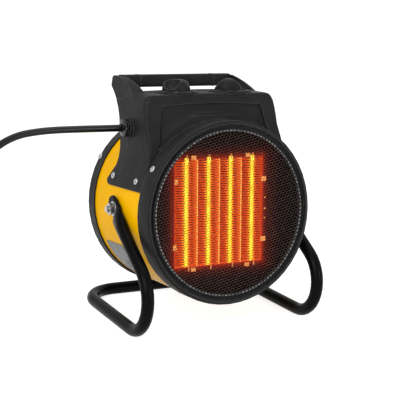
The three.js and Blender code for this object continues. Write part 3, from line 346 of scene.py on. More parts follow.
def make_lit_plate():
    """Dark sheet with painted light: the element's red light on it, given as a glow that fades away from the element
    """
    nodes = Nodes("hot_plate")
    dark = (0.004, 0.003, 0.003)
    fade = nodes.fade(away_from_element(nodes), 0.009)
    # Painted light: the element's red falling on the sheet, as emission that fades with distance from the element
    nodes.glow(nodes.ramp(fade, *PLATE_PAINTED_LIGHT), nodes.times(nodes.times(fade, nodes.patches(140, 3, 0.6, 1.25)), 0.55))
    nodes.bump(nodes.noise(900, 3), 0.2, FINE_GRAIN)
    return nodes.finish(nodes.tones(60, 3, dark, shade(dark, 1.6)), 0.7, specular=0.02)


def make_foil():
    """Folded foil: bright at its front edges and a little more so beside the bars, dark red inside"""
    nodes = Nodes("hot_foil")
    x, y, _ = drum_place(nodes)
    near = nodes.fade(nodes.math("SUBTRACT", from_bar(nodes, x), BAR_HALF_WIDTH), 0.0017)
    front = nodes.span(y, FOIL_FRONT, FOIL_DARK_FROM, 1.0, 0.12)
    heat = nodes.times(front, nodes.math("ADD", near, nodes.patches(420, 4, 0.46, 0.68)))
    nodes.glow(nodes.ramp(heat, *FOIL_GLOW), nodes.span(heat, 0.0, 1.0, 0.25, 1.35))
    nodes.bump(nodes.noise(1500, 2), 0.2, FINE_GRAIN)
    return nodes.finish((0.03, 0.004, 0.002), 0.6, specular=0.05)


def make_bar():
    """Glowing yellow on its front face and dark red down its sides"""
    nodes = Nodes("hot_bar")
    x, y, _ = drum_place(nodes)
    core = nodes.span(from_bar(nodes, x), 0.0015, 0.0025, 1.0, 0.55)
    face = nodes.span(y, BAR_FRONT, BAR_DARK_FROM, 1.0, 0.08)
    heat = nodes.times(nodes.times(core, face), nodes.patches(70, 3, 0.88, 1.06, reach=0.15))
    nodes.glow(nodes.ramp(heat, *BAR_GLOW), nodes.span(heat, 0.0, 1.0, 0.3, 1.6))
    nodes.bump(nodes.noise(900, 2), 0.2, FINE_GRAIN)
    return nodes.finish((0.05, 0.02, 0.004), 0.6, specular=0.05)


def make_rib():
    """A divider between two modules: a thin bright line down the middle of a darker strip"""
    nodes = Nodes("warm_rib")
    x, _, _ = drum_place(nodes)
    aside = nodes.math("SUBTRACT", BAR_PITCH / 2, from_bar(nodes, x))
    line = nodes.span(aside, 0.0004, 0.0010, 1.0, 0.3)
    heat = nodes.times(line, nodes.patches(480, 3, 0.75, 1.05, reach=0.15))
    nodes.glow(nodes.ramp(heat, *RIB_GLOW), nodes.span(heat, 0.0, 1.0, 0.6, 1.4))
    nodes.bump(nodes.noise(1400, 3), 0.3, FINE_GRAIN)
    return nodes.finish((0.05, 0.015, 0.006), 0.5, specular=0.08)


def make_frame():
    """Sheet frame round the foils: a dotted bright inner edge that fades to dark red"""
    nodes = Nodes("hot_aluminium")
    fade = nodes.fade(away_from_element(nodes), 0.0013)
    heat = nodes.times(fade, nodes.patches(520, 3, 0.7, 1.05, reach=0.15))
    nodes.glow(nodes.ramp(heat, *FRAME_GLOW), 0.95)
    nodes.bump(nodes.noise(1400, 3), 0.3, FINE_GRAIN)
    return nodes.finish((0.04, 0.006, 0.003), 0.5, specular=0.08)


def make_clip():
    """Orange-hot sheet with darker spots"""
    nodes = Nodes("warm_clip")
    colour, hot = (0.10, 0.04, 0.02), (1.0, 0.36, 0.09)
    nodes.glow(nodes.tones(500, 4, shade(hot, 0.45), hot), 1.25)
    nodes.bump(nodes.noise(1400, 3), 0.3, FINE_GRAIN)
    return nodes.finish(nodes.tones(300, 3, shade(colour, 0.6), colour), 0.5, specular=0.08)


def make_net():
    """Heat-darkened wire, with the element's red light on it in front of the element painted as a glow"""
    nodes = Nodes("net_wire")
    fade = nodes.fade(away_from_element(nodes), 0.011)
    # Painted light: the element's red on the wire, as emission that fades away from the element
    nodes.glow(nodes.ramp(fade, *NET_PAINTED_LIGHT), nodes.times(fade, 0.08))
    nodes.bump(nodes.noise(1600, 2), 0.2, FINE_GRAIN)
    tone = nodes.tones(240, 3, (0.045, 0.030, 0.026), (0.11, 0.084, 0.074))
    return nodes.finish(tone, 0.6, specular=0.05)


def make_rim_finish(name, low, high):
    """Black steel with a speckled surface"""
    nodes = Nodes(name)
    nodes.bump(nodes.noise(1500, 3), 0.5, 0.0002)
    return nodes.finish(nodes.tones(420, 3, low, high, reach=0.15), 0.5, specular=0.12)


def make_rubber(name, colour, rough):
    nodes = Nodes(name)
    nodes.bump(nodes.noise(1200, 3), 0.2, FINE_GRAIN)
    tone = nodes.tones(90, 4, shade(colour, 0.8), shade(colour, 1.3))
    return nodes.finish(tone, nodes.patches(70, 3, rough - 0.06, rough + 0.1))


def make_strap():
    """Woven hook-and-loop strap"""
    nodes = Nodes("tie_strap")
    wave = nodes.add("ShaderNodeTexWave", Vector=nodes.place, Scale=420.0, Distortion=1.5, Detail=1.0)
    weave = wave.outputs["Fac"]
    nodes.bump(nodes.math("ADD", weave, nodes.noise(2500, 2)), 0.7, 0.0003)
    return nodes.finish(nodes.ramp(weave, (0.2, (0.010, 0.010, 0.011)), (0.8, (0.035, 0.035, 0.037))), 0.8)


YELLOW = make_powder_coat("yellow_paint", (1.0, 0.505, 0.0), 0.32, specular=0.025, inside_colour=(0.004, 0.003, 0.003))
BLACK = make_plastic("black_plastic", linear(30, 30, 30), 0.48, specular=0.085)
GLOSS = make_plastic("gloss_plastic", linear(10, 10, 11), 0.18, grain=900, depth=0.00005, specular=0.35)
TUBE = make_powder_coat("tube_black", linear(8, 8, 9), 0.30, edge=0.0, specular=0.045)
ZINC = make_metal("zinc", (0.40, 0.41, 0.42), 0.26)
STEEL = make_metal("bare_steel", (0.42, 0.43, 0.44), 0.36)
PIN = make_metal("plated_pin", (0.72, 0.70, 0.66), 0.2)
FAN = make_plastic("fan_plastic", linear(40, 42, 44), 0.42)
PLATE = make_lit_plate()
FRAME = make_frame()
CLIP = make_clip()
RIB = make_rib()
FOIL = make_foil()
BAR = make_bar()
NET = make_net()
NET_RIM = make_rim_finish("net_rim", (0.006, 0.006, 0.006), (0.02, 0.02, 0.021))
RIM_LOOP = make_rim_finish("rim_loop", (0.05, 0.05, 0.051), (0.34, 0.34, 0.345))
RUBBER = make_rubber("cord_rubber", linear(12, 12, 13), 0.22)
STRAP = make_strap()
MARK = make_plastic("printed_mark", linear(150, 150, 148), 0.5, grain=600, depth=0.00002, edge=0.0)
BLANK = make_powder_coat("blank_plate", linear(98, 98, 97), 0.34, edge=0.0)

FINISHES = {
    "yellow_paint": YELLOW, "black_plastic": BLACK, "tube_black": TUBE, "zinc": ZINC, "net_steel": NET,
    "hot_plate": PLATE, "hot_aluminium": FRAME, "hot_bar": BAR, "fan_plastic": FAN, "bare_steel": STEEL,
    "cord_rubber": RUBBER, "tie_strap": STRAP,
}

# CAD nodes

NODE_WELD = 1e-5
NODE_EDGE_ANGLE = 32


def split_edges(obj, angle):
    """Shades edges sharper than angle, in degrees, as edges"""
    split = obj.modifiers.new("edges", "EDGE_SPLIT")
    split.split_angle = math.radians(angle)


def dress_nodes():
    slots = {part["node"]: part["material_slot"] for part in frame["record"]["subparts"]}
    for name, node in frame["nodes"].items():
        finish = FINISHES[slots[name]]
        if name.startswith("divider"):
            finish = RIB
        if name.startswith("gland"):
            finish = GLOSS
        if not node.material_slots:
            node.data.materials.append(finish)
        for place in node.material_slots:
            place.material = finish
        node.data.polygons.foreach_set("use_smooth", [True] * len(node.data.polygons))
        weld = node.modifiers.new("weld", "WELD")
        weld.merge_threshold = NODE_WELD
        split_edges(node, NODE_EDGE_ANGLE)


dress_nodes()

# Mesh helpers


def piece(name, verts, faces, finishes, body, place=DRUM, slot=None, smooth=True, split=35, marks=None):
    """A mesh piece drawn in mm in the drum's frame, or in the part's own with FLAT"""
    mesh = bpy.data.meshes.new(name)
    mesh.from_pydata([place @ Vector(v) for v in verts], [], faces)
    for finish in finishes:
        mesh.materials.append(finish)
    if len(finishes) > 1:
        mesh.polygons.foreach_set("material_index", marks)
    mesh.polygons.foreach_set("use_smooth", [smooth] * len(mesh.polygons))
    mesh.validate()
    mesh.update()
    obj = new_object(name, mesh)
    if smooth:
        split_edges(obj, split)
    if body:
        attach(obj, body)
    return obj


def around(sides):
    """Angles evenly spaced once round"""
    return [2 * math.pi * i / sides for i in range(sides)]


class Shape:
    """Vertices and faces gathered from several simple forms, each face marked with its finish"""

    def __init__(self):
        self.verts, self.faces, self.marks = [], [], []

    def rings(self, rings, capped=True, mark=0):
        """A skin over rings that have equally many points"""
        first, count = len(self.verts), len(rings[0])
        for ring in rings:
            self.verts.extend(ring)
        for k in range(len(rings) - 1):
            near = first + k * count
            far = near + count
            for i in range(count):
                j = (i + 1) % count
                self.faces.append((near + i, near + j, far + j, far + i))
        if capped:
            last = first + (len(rings) - 1) * count
            self.faces.append(tuple(reversed(range(first, first + count))))
            self.faces.append(tuple(range(last, last + count)))
        self.marks.extend([mark] * (len(self.faces) - len(self.marks)))
        return self

    def turned(self, profile, centre, axis, sides, mark=0, closed=False):
        """A profile of (radius, distance along axis) turned about the axis through centre"""
        axis = Vector(axis).normalized()
        side = axis.orthogonal().normalized()
        other = axis.cross(side)
        centre = Vector(centre)
        rings = []
        for radius, along in profile + ([profile[0]] if closed else []):
            ring = []
            for a in around(sides):
                out = radius(a) if callable(radius) else radius
                ring.append(centre + axis * along + (side * math.cos(a) + other * math.sin(a)) * out)
            rings.append(ring)
        return self.rings(rings, capped=False, mark=mark)

    def box(self, low, high, turn=None):
        (x0, y0, z0), (x1, y1, z1) = low, high
        corners = ((x0, y0), (x1, y0), (x1, y1), (x0, y1))
        rings = [[Vector((x, y, z)) for x, y in corners] for z in (z0, z1)]
        if turn is not None:
            rings = [[turn @ corner for corner in ring] for ring in rings]
        return self.rings(rings)

    def strand(self, points, thickness):
        """A square strand along points that lie in the x and z plane"""
        rings = []
        for i, point in enumerate(points):
            way = (points[min(i + 1, len(points) - 1)] - points[max(i - 1, 0)]).normalized()
            side = Vector((-way.z, 0, way.x)) * (thickness / 2)
            deep = Vector((0, thickness / 2, 0))
            rings.append([point + side - deep, point - side - deep, point - side + deep, point + side + deep])
        return self.rings(rings)

    def make(self, name, finish, body, **more):
        finishes = finish if isinstance(finish, list) else [finish]
        return piece(name, self.verts, self.faces, finishes, body, marks=self.marks, **more)


# Cord, in mm in the part's own frame

CORD = 8.5
CORD_SIDES = 18
ROUTE_STEPS = 6
ROUTE = [
    (-101.2, 19.7, 232.9), (-120, 19.7, 233), (-140, 19.7, 233.2), (-165, 19.7, 233.3), (-188, 19.7, 233.1),
    (-208, 19.7, 231.9), (-228, 19.7, 229), (-244, 19.7, 223.2), (-258, 19.7, 214.6), (-270, 19.7, 203),
    (-280, 19.7, 187), (-287, 19.7, 168), (-291, 19.7, 147), (-293.2, 19.7, 123), (-294, 19.7, 98),
    (-294, 19.7, 70), (-294, 19.7, 44), (-296.9, 19.7, 29.5), (-305.1, 19.7, 17), (-317.5, 19.7, 8.8),
    (-332, 19.7, 5.7), (-342, 19.7, 5.7),
]

# The coil winds in on the floor and out again one layer higher, and climbs where it reverses

COIL_START = Vector((-342.3, 19.7, 5.7))
COIL_INNER = 43.0
COIL_PITCH = 9.2
COIL_LAYER = 9.1
COIL_TURNS = 1.5
COIL_STEPS = 48
COIL_TAIL = 30.0
REVERSAL = 0.25


def between(a, b, start, end, at):
    """The point at a knot value, on the line from a at start to b at end"""
    return a * ((end - at) / (end - start)) + b * ((at - start) / (end - start))


def smooth_path(points, steps):
    """A centripetal Catmull-Rom curve through the points, with steps points on each stretch"""
    points = [Vector(p) for p in points]
    points = [points[0] * 2 - points[1]] + points + [points[-1] * 2 - points[-2]]
    path = []
    for i in range(1, len(points) - 2):
        p = points[i - 1:i + 3]
        knots = [0.0]
        for a, b in zip(p, p[1:]):
            knots.append(knots[-1] + (b - a).length ** 0.5)
        for k in range(steps):
            at = knots[1] + (knots[2] - knots[1]) * k / steps
            lines = [between(p[j], p[j + 1], knots[j], knots[j + 1], at) for j in range(3)]
            arcs = [between(lines[j], lines[j + 1], knots[j], knots[j + 2], at) for j in range(2)]
            path.append(between(arcs[0], arcs[1], knots[1], knots[2], at))
    path.append(points[-2])
    return path


def coil_path():
    outer = COIL_INNER + COIL_PITCH * COIL_TURNS
    centre = Vector((COIL_START.x - CORD, COIL_START.y - outer, COIL_START.z))
    points = [COIL_START - Vector((CORD * k / 3, 0, 0)) for k in range(1, 3)]
    whole = 2 * COIL_TURNS
    count = int(whole * COIL_STEPS)
    for k in range(count + 1):
        turns = whole * k / count - COIL_TURNS
        away = abs(turns)
        if away < REVERSAL:
            away = turns ** 2 / (2 * REVERSAL) + REVERSAL / 2
        radius = COIL_INNER + COIL_PITCH * away
        angle = math.pi / 2 + 2 * math.pi * (turns + COIL_TURNS)
        climb = min(max((turns + REVERSAL) / (2 * REVERSAL), 0), 1)
        lift = climb * climb * (3 - 2 * climb) * COIL_LAYER
        points.append(centre + Vector((radius * math.cos(angle), radius * math.sin(angle), lift)))
    end = points[-1]
    points += [end - Vector((COIL_TAIL * k / 4, 0, 0)) for k in range(1, 5)]
    return points


def tube_rings(path, radius, sides):
    rings, side = [], None
    for i, point in enumerate(path):
        way = (path[min(i + 1, len(path) - 1)] - path[max(i - 1, 0)]).normalized()
        side = (side - way * side.dot(way)).normalized() if side else way.orthogonal().normalized()
        other = way.cross(side)
        rings.append([point + (side * math.cos(a) + other * math.sin(a)) * radius for a in around(sides)])
    return rings


def make_cord():
    path = smooth_path(ROUTE, ROUTE_STEPS) + [COIL_START] + coil_path()
    length = sum((b - a).length for a, b in zip(path, path[1:]))
    tube = Shape().rings(tube_rings(path, CORD / 2, CORD_SIDES))
    cord = tube.make("mains_lead", RUBBER, None, place=FLAT, split=50)
    Vector(ROUTE[0]) * MM
    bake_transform(cord)
    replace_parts(cord, "cord", "cord_coil")
    return cord, [list(p * MM) for p in path], length * MM


CORD_PIECE, CORD_PATH, CORD_LENGTH = make_cord()

# Plug: a ribbed neck that widens into the body, finger ribs on both sides and two sleeved pins

PLUG_GAP = 0.3
PLUG_SIDES = 32
NECK_LENGTH = 22
NECK_RADIUS, NECK_END_RADIUS = 5.45, 9.6
NECK_RIB, NECK_GROOVE = 0.45, -0.25
NECK_POWER = 1.3
BODY_POWER = 0.72
BODY_SECTIONS = [
    (22.4, 13.2, 10.6), (24, 14.8, 11.2), (28, 15.4, 11.5), (33, 15.9, 11.9), (38, 16.5, 12.3), (44, 17, 12.6),
    (50, 17.3, 12.8), (54, 17.4, 12.85), (55.4, 17, 12.5), (56, 16, 11.6),
]
GRIP_RIBS = 5
GRIP_RIB_FROM, GRIP_RIB_PITCH = 30, 4.2
GRIP_RIB_ASIDE = 15.5
GRIP_RIB_HALF = (0.9, 1.6, 7)
PIN_FROM, PIN_ASIDE = 56, 9.5
PIN_SIDES = 20
PIN_SLEEVE = [(2.4, -1), (2.4, 9.5), (2.35, 10)]
PIN_TIP = [(2.35, 9.8), (2.35, 17.8), (1.9, 18.7), (1.0, 19.0), (0.05, 19.0)]


def neck_radius(along):
    """The neck has ribs two wide and two apart, but none at its ends"""
    radius = NECK_RADIUS + (NECK_END_RADIUS - NECK_RADIUS) * (along / NECK_LENGTH) ** NECK_POWER
    if 2 < along < NECK_LENGTH - 2:
        radius += NECK_RIB if along % 4 in (1, 2) else NECK_GROOVE
    return radius


def plug_ring(start, along, wide, tall, power):
    """A round section, or one with squarer corners where power is under 1"""
    ring = []
    for a in around(PLUG_SIDES):
        c, s = math.cos(a), math.sin(a)
        across = wide * math.copysign(abs(c) ** power, c)
        ring.append(start + Vector((-along, across, tall * math.copysign(abs(s) ** power, s))))
    return ring


def make_plug():
    tail_end = COIL_START - Vector((CORD + COIL_TAIL, 0, -COIL_LAYER))
    start = tail_end - Vector((PLUG_GAP, 0, 0))
    neck = [(along, neck_radius(along)) for along in range(NECK_LENGTH + 1)]
    rings = [plug_ring(start, along, radius, radius, 1.0) for along, radius in neck]
    rings += [plug_ring(start, along, wide, tall, BODY_POWER) for along, wide, tall in BODY_SECTIONS]
    shape = Shape().rings(rings)
    half = Vector(GRIP_RIB_HALF)
    for row in range(GRIP_RIBS):
        for side in (-1, 1):
            aside = Vector((-GRIP_RIB_FROM - row * GRIP_RIB_PITCH, side * GRIP_RIB_ASIDE, 0))
            shape.box(start + aside - half, start + aside + half)
    body = shape.make("plug_body", RUBBER, "stand", place=FLAT, slot="cord_rubber", split=40)
    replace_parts(body, "plug")
    pins = Shape()
    for side in (-1, 1):
        centre = start + Vector((-PIN_FROM, side * PIN_ASIDE, 0))
        pins.turned(PIN_SLEEVE, centre, (-1, 0, 0), PIN_SIDES)
        pins.turned(PIN_TIP, centre, (-1, 0, 0), PIN_SIDES, mark=1)
    return [body, pins.make("plug_pins", [GLOSS, PIN], "stand", place=FLAT, slot="cord_rubber")]


PLUG = make_plug()
tuple(Vector(ROUTE[0]) * MM)
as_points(CORD_PATH)

# Outlet net and its rim

NET_TURN = Matrix.Rotation(-math.radians(13), 4, "Y")
NET_RADIUS = 97.5
NET_PITCH, NET_ROW = 4.8, 3.1
NET_STRAND, NET_LINK = 0.36, 0.24
NET_WAVE = 0.09
STRAND_DEPTH, LINK_DEPTH = 0.9, 1.0
HOOP = [(96.6, 2.4), (96.5, 1.0), (97.2, 0.0), (98.8, -0.35), (100.4, 0.0), (101.2, 1.0), (101.2, 2.4)]
HOOP_SIDES = 144
RIM_LOOPS = 132
LOOP_RADIUS = 98.3
LOOP_DEPTH = -0.2
LOOP_SECTIONS = [(-1.45, 0.3, 0.2), (-1.05, 0.62, 0.45), (0, 0.7, 0.6), (1.05, 0.62, 0.45), (1.45, 0.3, 0.2)]


def net_point(x, y, z):
    return NET_TURN @ Vector((x, y, z))


def make_outlet_net():
    """Wire net: slightly waved rows joined by short links that stand in alternate places"""
    net = Shape()
    rows = int(NET_RADIUS / NET_ROW)
    for j in range(-rows, rows + 1):
        z = j * NET_ROW
        shift = 0.5 * (j % 2)
        count = int(math.sqrt(NET_RADIUS ** 2 - z ** 2) / (NET_PITCH / 4))
        row = []
        for i in range(-count, count + 1):
            x = i * NET_PITCH / 4
            lift = NET_WAVE * NET_ROW * math.cos(2 * math.pi * (x / NET_PITCH + shift))
            row.append(net_point(x, STRAND_DEPTH, z + lift))
        if len(row) > 1:
            net.strand(row, NET_STRAND)
        for i in range(-count, count + 1):
            x = (i + shift) * NET_PITCH
            if max(math.hypot(x, z), math.hypot(x, z + NET_ROW)) < NET_RADIUS:
                net.strand([net_point(x, LINK_DEPTH, z), net_point(x, LINK_DEPTH, z + NET_ROW)], NET_LINK)
    return net.make("outlet_net", NET, "heater", slot="net_steel", smooth=False)


def make_rim():
    """A black hoop, and the ends of the net's strands folded over it as a row of small loops"""
    hoop = Shape().turned(HOOP, (0, 0, 0), DRUM_AXIS, HOOP_SIDES, closed=True)
    hoop.make("outlet_rim", NET_RIM, "heater", slot="net_steel", split=60)
    loops = Shape()
    for angle in around(RIM_LOOPS):
        turn = Matrix.Rotation(angle, 3, "Y")
        rings = []
        for along, wide, tall in LOOP_SECTIONS:
            right = [(wide, 0), (wide, -tall * 0.6), (wide * 0.5, -tall)]
            left = [(-wide * 0.5, -tall), (-wide, -tall * 0.6)]
            corners = [(-wide, 0)] + right + left
            rings.append([turn @ Vector((along, LOOP_DEPTH + y, LOOP_RADIUS + r)) for r, y in corners])
        loops.rings(rings)
    loops.make("rim_loops", RIM_LOOP, "heater", slot="net_steel", split=60)


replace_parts(make_outlet_net(), "front_grille")
make_rim()

# Heating element: foils in close pairs of folds

FOIL_COLUMNS = 8
FOLDS = 43
FOLD_START_SHARE, FOLD_GAP_SHARE = 0.2, 0.34
FOLD_SLOPE = 0.25
FOIL_THICK = 0.5
FOIL_GAP = 0.2
FOIL_FOOT, FOIL_TOP = -64.7, 61.7
FOIL_NEAR, FOIL_FAR = 27.1, 52.4


def fold_line(x0, x1):
    """The foil's zigzag as seen from the front, between two columns' walls"""
    pitch = (FOIL_TOP - FOIL_FOOT) / FOLDS
    line = []
    for k in range(2 * FOLDS):
        z = FOIL_FOOT + (k // 2 + FOLD_START_SHARE + (k % 2) * FOLD_GAP_SHARE) * pitch
        for x in (x0, x1) if k % 2 == 0 else (x1, x0):
            line.append(Vector((x, 0, z + FOLD_SLOPE * (x0 + x1 - 2 * x) / (x1 - x0))))
    return line


def make_foils():
    """Thin foil folded to and fro, one stack per column, seen edge on from the front"""
    near, far = Vector((0, FOIL_NEAR, 0)), Vector((0, FOIL_FAR, 0))
    for column in range(1, FOIL_COLUMNS + 1):
        node = "fin_column_%d" % column
        low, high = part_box(node)
        line = fold_line(low[0] / MM + FOIL_GAP, high[0] / MM - FOIL_GAP)
        foil = Shape()
        for a, b in zip(line, line[1:]):
            level = abs(b.x - a.x) > abs(b.z - a.z)
            step = Vector((0, 0, 1) if level else (1, 0, 0)) * (FOIL_THICK / 2)
            foil.rings([[end + step + near, end - step + near, end - step + far, end + step + far]
                        for end in (a, b)])
        stack = foil.make("foil_stack_%d" % column, FOIL, "heater", slot="hot_aluminium", smooth=False)
        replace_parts(stack, node)


# Clips and lugs that hold the element in its window, placed by their x and z

LEVEL_CLIPS = [(-37, 65.6), (37, 65.6), (-37, -68.4), (37, -68.4)]
LEVEL_CLIP_HALF = (3.0, 2.3)
UPRIGHT_CLIPS = [(-60.5, 38), (-62, -40), (60.5, 35.5), (60.5, -38.5)]
UPRIGHT_CLIP_HALF = (2.0, 3.0)
SMALL_CLIPS = [(61.5, 12.7), (61.5, -0.8), (61.5, -12.5)]
SMALL_CLIP_HALF = (0.9, 0.8)
CLIP_FRONT, CLIP_REAR = 22.6, 23.4
CLIP_BEND_REAR, CLIP_BEND_HALF = 26.4, 0.4
CLIP_SCREW = [(2.0, 22.7), (2.0, 21.6), (1.6, 21.1), (0.02, 20.8)]
CLIP_SCREW_SIDES = 16
CLIP_SLOT_LOW, CLIP_SLOT_HIGH = Vector((-0.25, 20.6, -1.5)), Vector((0.25, 21.3, 1.5))
LUG_PLACES = (-45, -15, 15, 45)
UPPER_LUG_LOW, UPPER_LUG_HIGH = Vector((-0.5, 24.2, 61.5)), Vector((0.5, 25.4, 68.2))
LOWER_LUG_LOW, LOWER_LUG_HIGH = Vector((2.4, 24.2, -70.0)), Vector((3.4, 25.4, -64.8))


def clip_face(clips, x, z, half):
    wide, tall = half
    clips.box((x - wide, CLIP_FRONT, z - tall), (x + wide, CLIP_REAR, z + tall))


def clip_screw(clips, x, z):
    centre = Vector((x, 0, z))
    clips.turned(CLIP_SCREW, centre, DRUM_AXIS, CLIP_SCREW_SIDES)
    clips.box(centre + CLIP_SLOT_LOW, centre + CLIP_SLOT_HIGH)


def make_clips():
    """Bent clips with screws, plain small clips, and a lug over and under each bar"""
    clips = Shape()
    for x, z in LEVEL_CLIPS:
        clip_face(clips, x, z, LEVEL_CLIP_HALF)
        clip_screw(clips, x, z)
    for x, z in UPRIGHT_CLIPS:
        wide, tall = UPRIGHT_CLIP_HALF
        clip_face(clips, x, z, UPRIGHT_CLIP_HALF)
        bend = x + wide if x < 0 else x - wide
        clips.box((bend - CLIP_BEND_HALF, CLIP_FRONT, z - tall), (bend + CLIP_BEND_HALF, CLIP_BEND_REAR, z + tall))
        clip_screw(clips, x, z)
    for x, z in SMALL_CLIPS:
        clip_face(clips, x, z, SMALL_CLIP_HALF)
    for x in LUG_PLACES:
        aside = Vector((x, 0, 0))
        clips.box(aside + UPPER_LUG_LOW, aside + UPPER_LUG_HIGH)
        clips.box(aside + LOWER_LUG_LOW, aside + LOWER_LUG_HIGH)
    clips.make("element_clips", CLIP, "heater", slot="hot_aluminium", split=30)


make_foils()
make_clips()

# Screws: pan heads with a cross recess, whose profile is in shares of the head's radius and height

FAR = 200
SCREW_RADIUS = 4.0
SCREW_RISE = 1.9
SCREW_SUNK = 0.4
SCREW_SIDES = 32
SCREW_PROFILE_SHARES = [(1.0, 0.35), (0.96, 0.62), (0.86, 0.84), (0.7, 0.95), (0.58, 0.98), (0.5, 0.99),
                        (0.4, 1.0), (0.28, 1.0), (0.16, 1.0), (0.06, 1.0)]
RECESS_DEPTH = 1.1
RECESS_HALF_WIDTH = 0.42
RECESS_REACH_SHARE = 0.6
SKIRT_SCREWS = [(107.6, 38.9), (43.7, 38.6)]
RING_SCREWS = [("front_bezel", 14.7, math.radians(59.5)), ("rear_ring", 163.5, math.radians(59.1))]


def screw(shape, centre, axis):
    """A pan head on the surface at centre"""
    axis, centre = Vector(axis).normalized(), Vector(centre)
    side = axis.cross(Vector((0, 1, 0.2))).normalized()
    other = axis.cross(side)
    foot = centre - axis * SCREW_SUNK
    rings = [[foot + (side * math.cos(a) + other * math.sin(a)) * SCREW_RADIUS for a in around(SCREW_SIDES)]]
    for out_share, rise_share in SCREW_PROFILE_SHARES:
        ring = []
        for a in around(SCREW_SIDES):
            x, y = out_share * SCREW_RADIUS * math.cos(a), out_share * SCREW_RADIUS * math.sin(a)
            in_recess = min(abs(x), abs(y)) < RECESS_HALF_WIDTH and out_share < RECESS_REACH_SHARE
            rise = rise_share * SCREW_RISE - (RECESS_DEPTH if in_recess else 0.0)
            ring.append(centre + side * x + other * y + axis * rise)
        rings.append(ring)
    shape.rings(rings)


def seat(node, start, way):
    """Where a line in the drum's frame first meets a CAD node, and the outward normal there"""
    mesh = frame["nodes"][node].data
    solid = BVHTree.FromPolygons([v.co for v in mesh.vertices], [tuple(p.vertices) for p in mesh.polygons])
    turn = DRUM.to_3x3().normalized()
    place, normal, _, _ = solid.ray_cast(DRUM @ Vector(start), turn @ Vector(way).normalized())
    return DRUM.inverted() @ place, turn.transposed() @ normal


def seat_from_side(node, side, y, z):
    """The seat on the node's left or right, at this depth and height"""
    return seat(node, (side * FAR, y, z), (-side, 0, 0))


def place_screws():
    """Two screws through each side of the skirt, and one through each side of the bezel and the rear ring"""
    heads = Shape()
    for side in (-1, 1):
        for y, z in SKIRT_SCREWS:
            screw(heads, *seat_from_side("control_housing", side, y, z))
        for node, y, turn in RING_SCREWS:
            axis = Vector((side * math.sin(turn), 0, math.cos(turn)))
            place, _ = seat(node, axis * FAR + Vector((0, y, 0)), -axis)
            screw(heads, place, axis)
    heads.make("screw_heads", ZINC, "heater", slot="zinc", split=30)


place_screws()

# Gland cap

GLAND = (-96.6, 86, 98.2)
GLAND_BORE = 5.2
KNURL_RADIUS, KNURL_RISE = 10.45, 0.35
KNURLS = 18
CAP_SIDES = 144


def make_gland_cap():
    """A glossy knurled cap nut, bored for the cord"""

    def knurl(angle):
        return KNURL_RADIUS + KNURL_RISE * math.cos(KNURLS * angle)

    profile = [(GLAND_BORE, 0), (10.2, 0), (knurl, 0.4), (knurl, 3.0), (9.6, 3.7), (7.6, 4.2), (GLAND_BORE, 4.2)]
    cap = Shape().turned(profile, GLAND, (-1, 0, 0), CAP_SIDES, closed=True)
    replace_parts(cap.make("gland_cap", GLOSS, "heater", slot="black_plastic", split=40), "gland_nut")


# Ridges in the housing's side walls, each from one y and z to another

RIDGES = [((91, 83), (86, 73)), ((59, 86), (55, 74))]
RIDGE_STEPS = 6
RIDGE_HALF_WIDTH = 0.8
RIDGE_TOP_SHARE = 0.4
RIDGE_RISE, RIDGE_SUNK = 0.5, 0.2
RIDGE_END_SHARE = 0.08


def make_ridges():
    """Low moulded ridges in both side walls, lower than the gland"""
    ridges = Shape()
    for side in (-1, 1):
        for (y0, z0), (y1, z1) in RIDGES:
            rings = []
            for k in range(RIDGE_STEPS + 1):
                t = k / RIDGE_STEPS
                place, normal = seat_from_side("control_housing", side, y0 + (y1 - y0) * t, z0 + (z1 - z0) * t)
                across = normal.cross(Vector((0, y1 - y0, z1 - z0))).normalized() * RIDGE_HALF_WIDTH
                swell = math.sin(math.pi * (RIDGE_END_SHARE + (1 - 2 * RIDGE_END_SHARE) * t))
                foot, top = place - normal * RIDGE_SUNK, place + normal * RIDGE_RISE * swell
                top_half = across * RIDGE_TOP_SHARE
                rings.append([foot - across, foot + across, top + top_half, top - top_half])
            ridges.rings(rings)
    ridges.make("wall_ridges", BLACK, "heater", slot="black_plastic")


# Collars on the grip, whose middle is at this y and z

GRIP_MIDDLE = (143, 151.25)
GRIP_HALF_DEPTH, GRIP_HALF_HEIGHT = 9, 7.75
GRIP_CORNER = 3.5
CORNER_STEPS = 6
COLLAR_ASIDE = 52
COLLAR_SECTIONS = [(-1.1, -0.1), (-0.8, 0.35), (0.8, 0.35), (1.1, -0.1)]


def round_box(half_y, half_z, corner):
    """The outline of a box with round corners, as (y, z) pairs"""
    pairs = []
    for k, (sy, sz) in enumerate(((1, 1), (-1, 1), (-1, -1), (1, -1))):
        for i in range(CORNER_STEPS + 1):
            a = math.pi / 2 * (k + i / CORNER_STEPS)
            y = sy * (half_y - corner) + corner * math.cos(a)
            pairs.append((y, sz * (half_z - corner) + corner * math.sin(a)))
    return pairs


def make_collars():
    """A narrow raised collar near each end of the grip"""
    collars = Shape()
    middle_y, middle_z = GRIP_MIDDLE
    for side in (-1, 1):
        rings = []
        for along, proud in COLLAR_SECTIONS:
            outline = round_box(GRIP_HALF_DEPTH + proud, GRIP_HALF_HEIGHT + proud, GRIP_CORNER + proud)
            x = side * COLLAR_ASIDE + along
            rings.append([Vector((x, middle_y + y, middle_z + z)) for y, z in outline])
        collars.rings(rings)
    collars.make("grip_collars", BLACK, "heater", slot="black_plastic")


# Dial marks: printed ticks near the dial's rim and plain numbers inside them

KNOB_PLACE = 70.5
TICK_RADIUS, FIGURE_RADIUS = 24.8, 20
TICK_LOW, TICK_HIGH = (-0.3, -1.5, 0), (0.3, 1.5, 0.08)
TICK_LIFT, FIGURE_LIFT = 0.05, 0.08
FIGURE_SIZE = 4.6


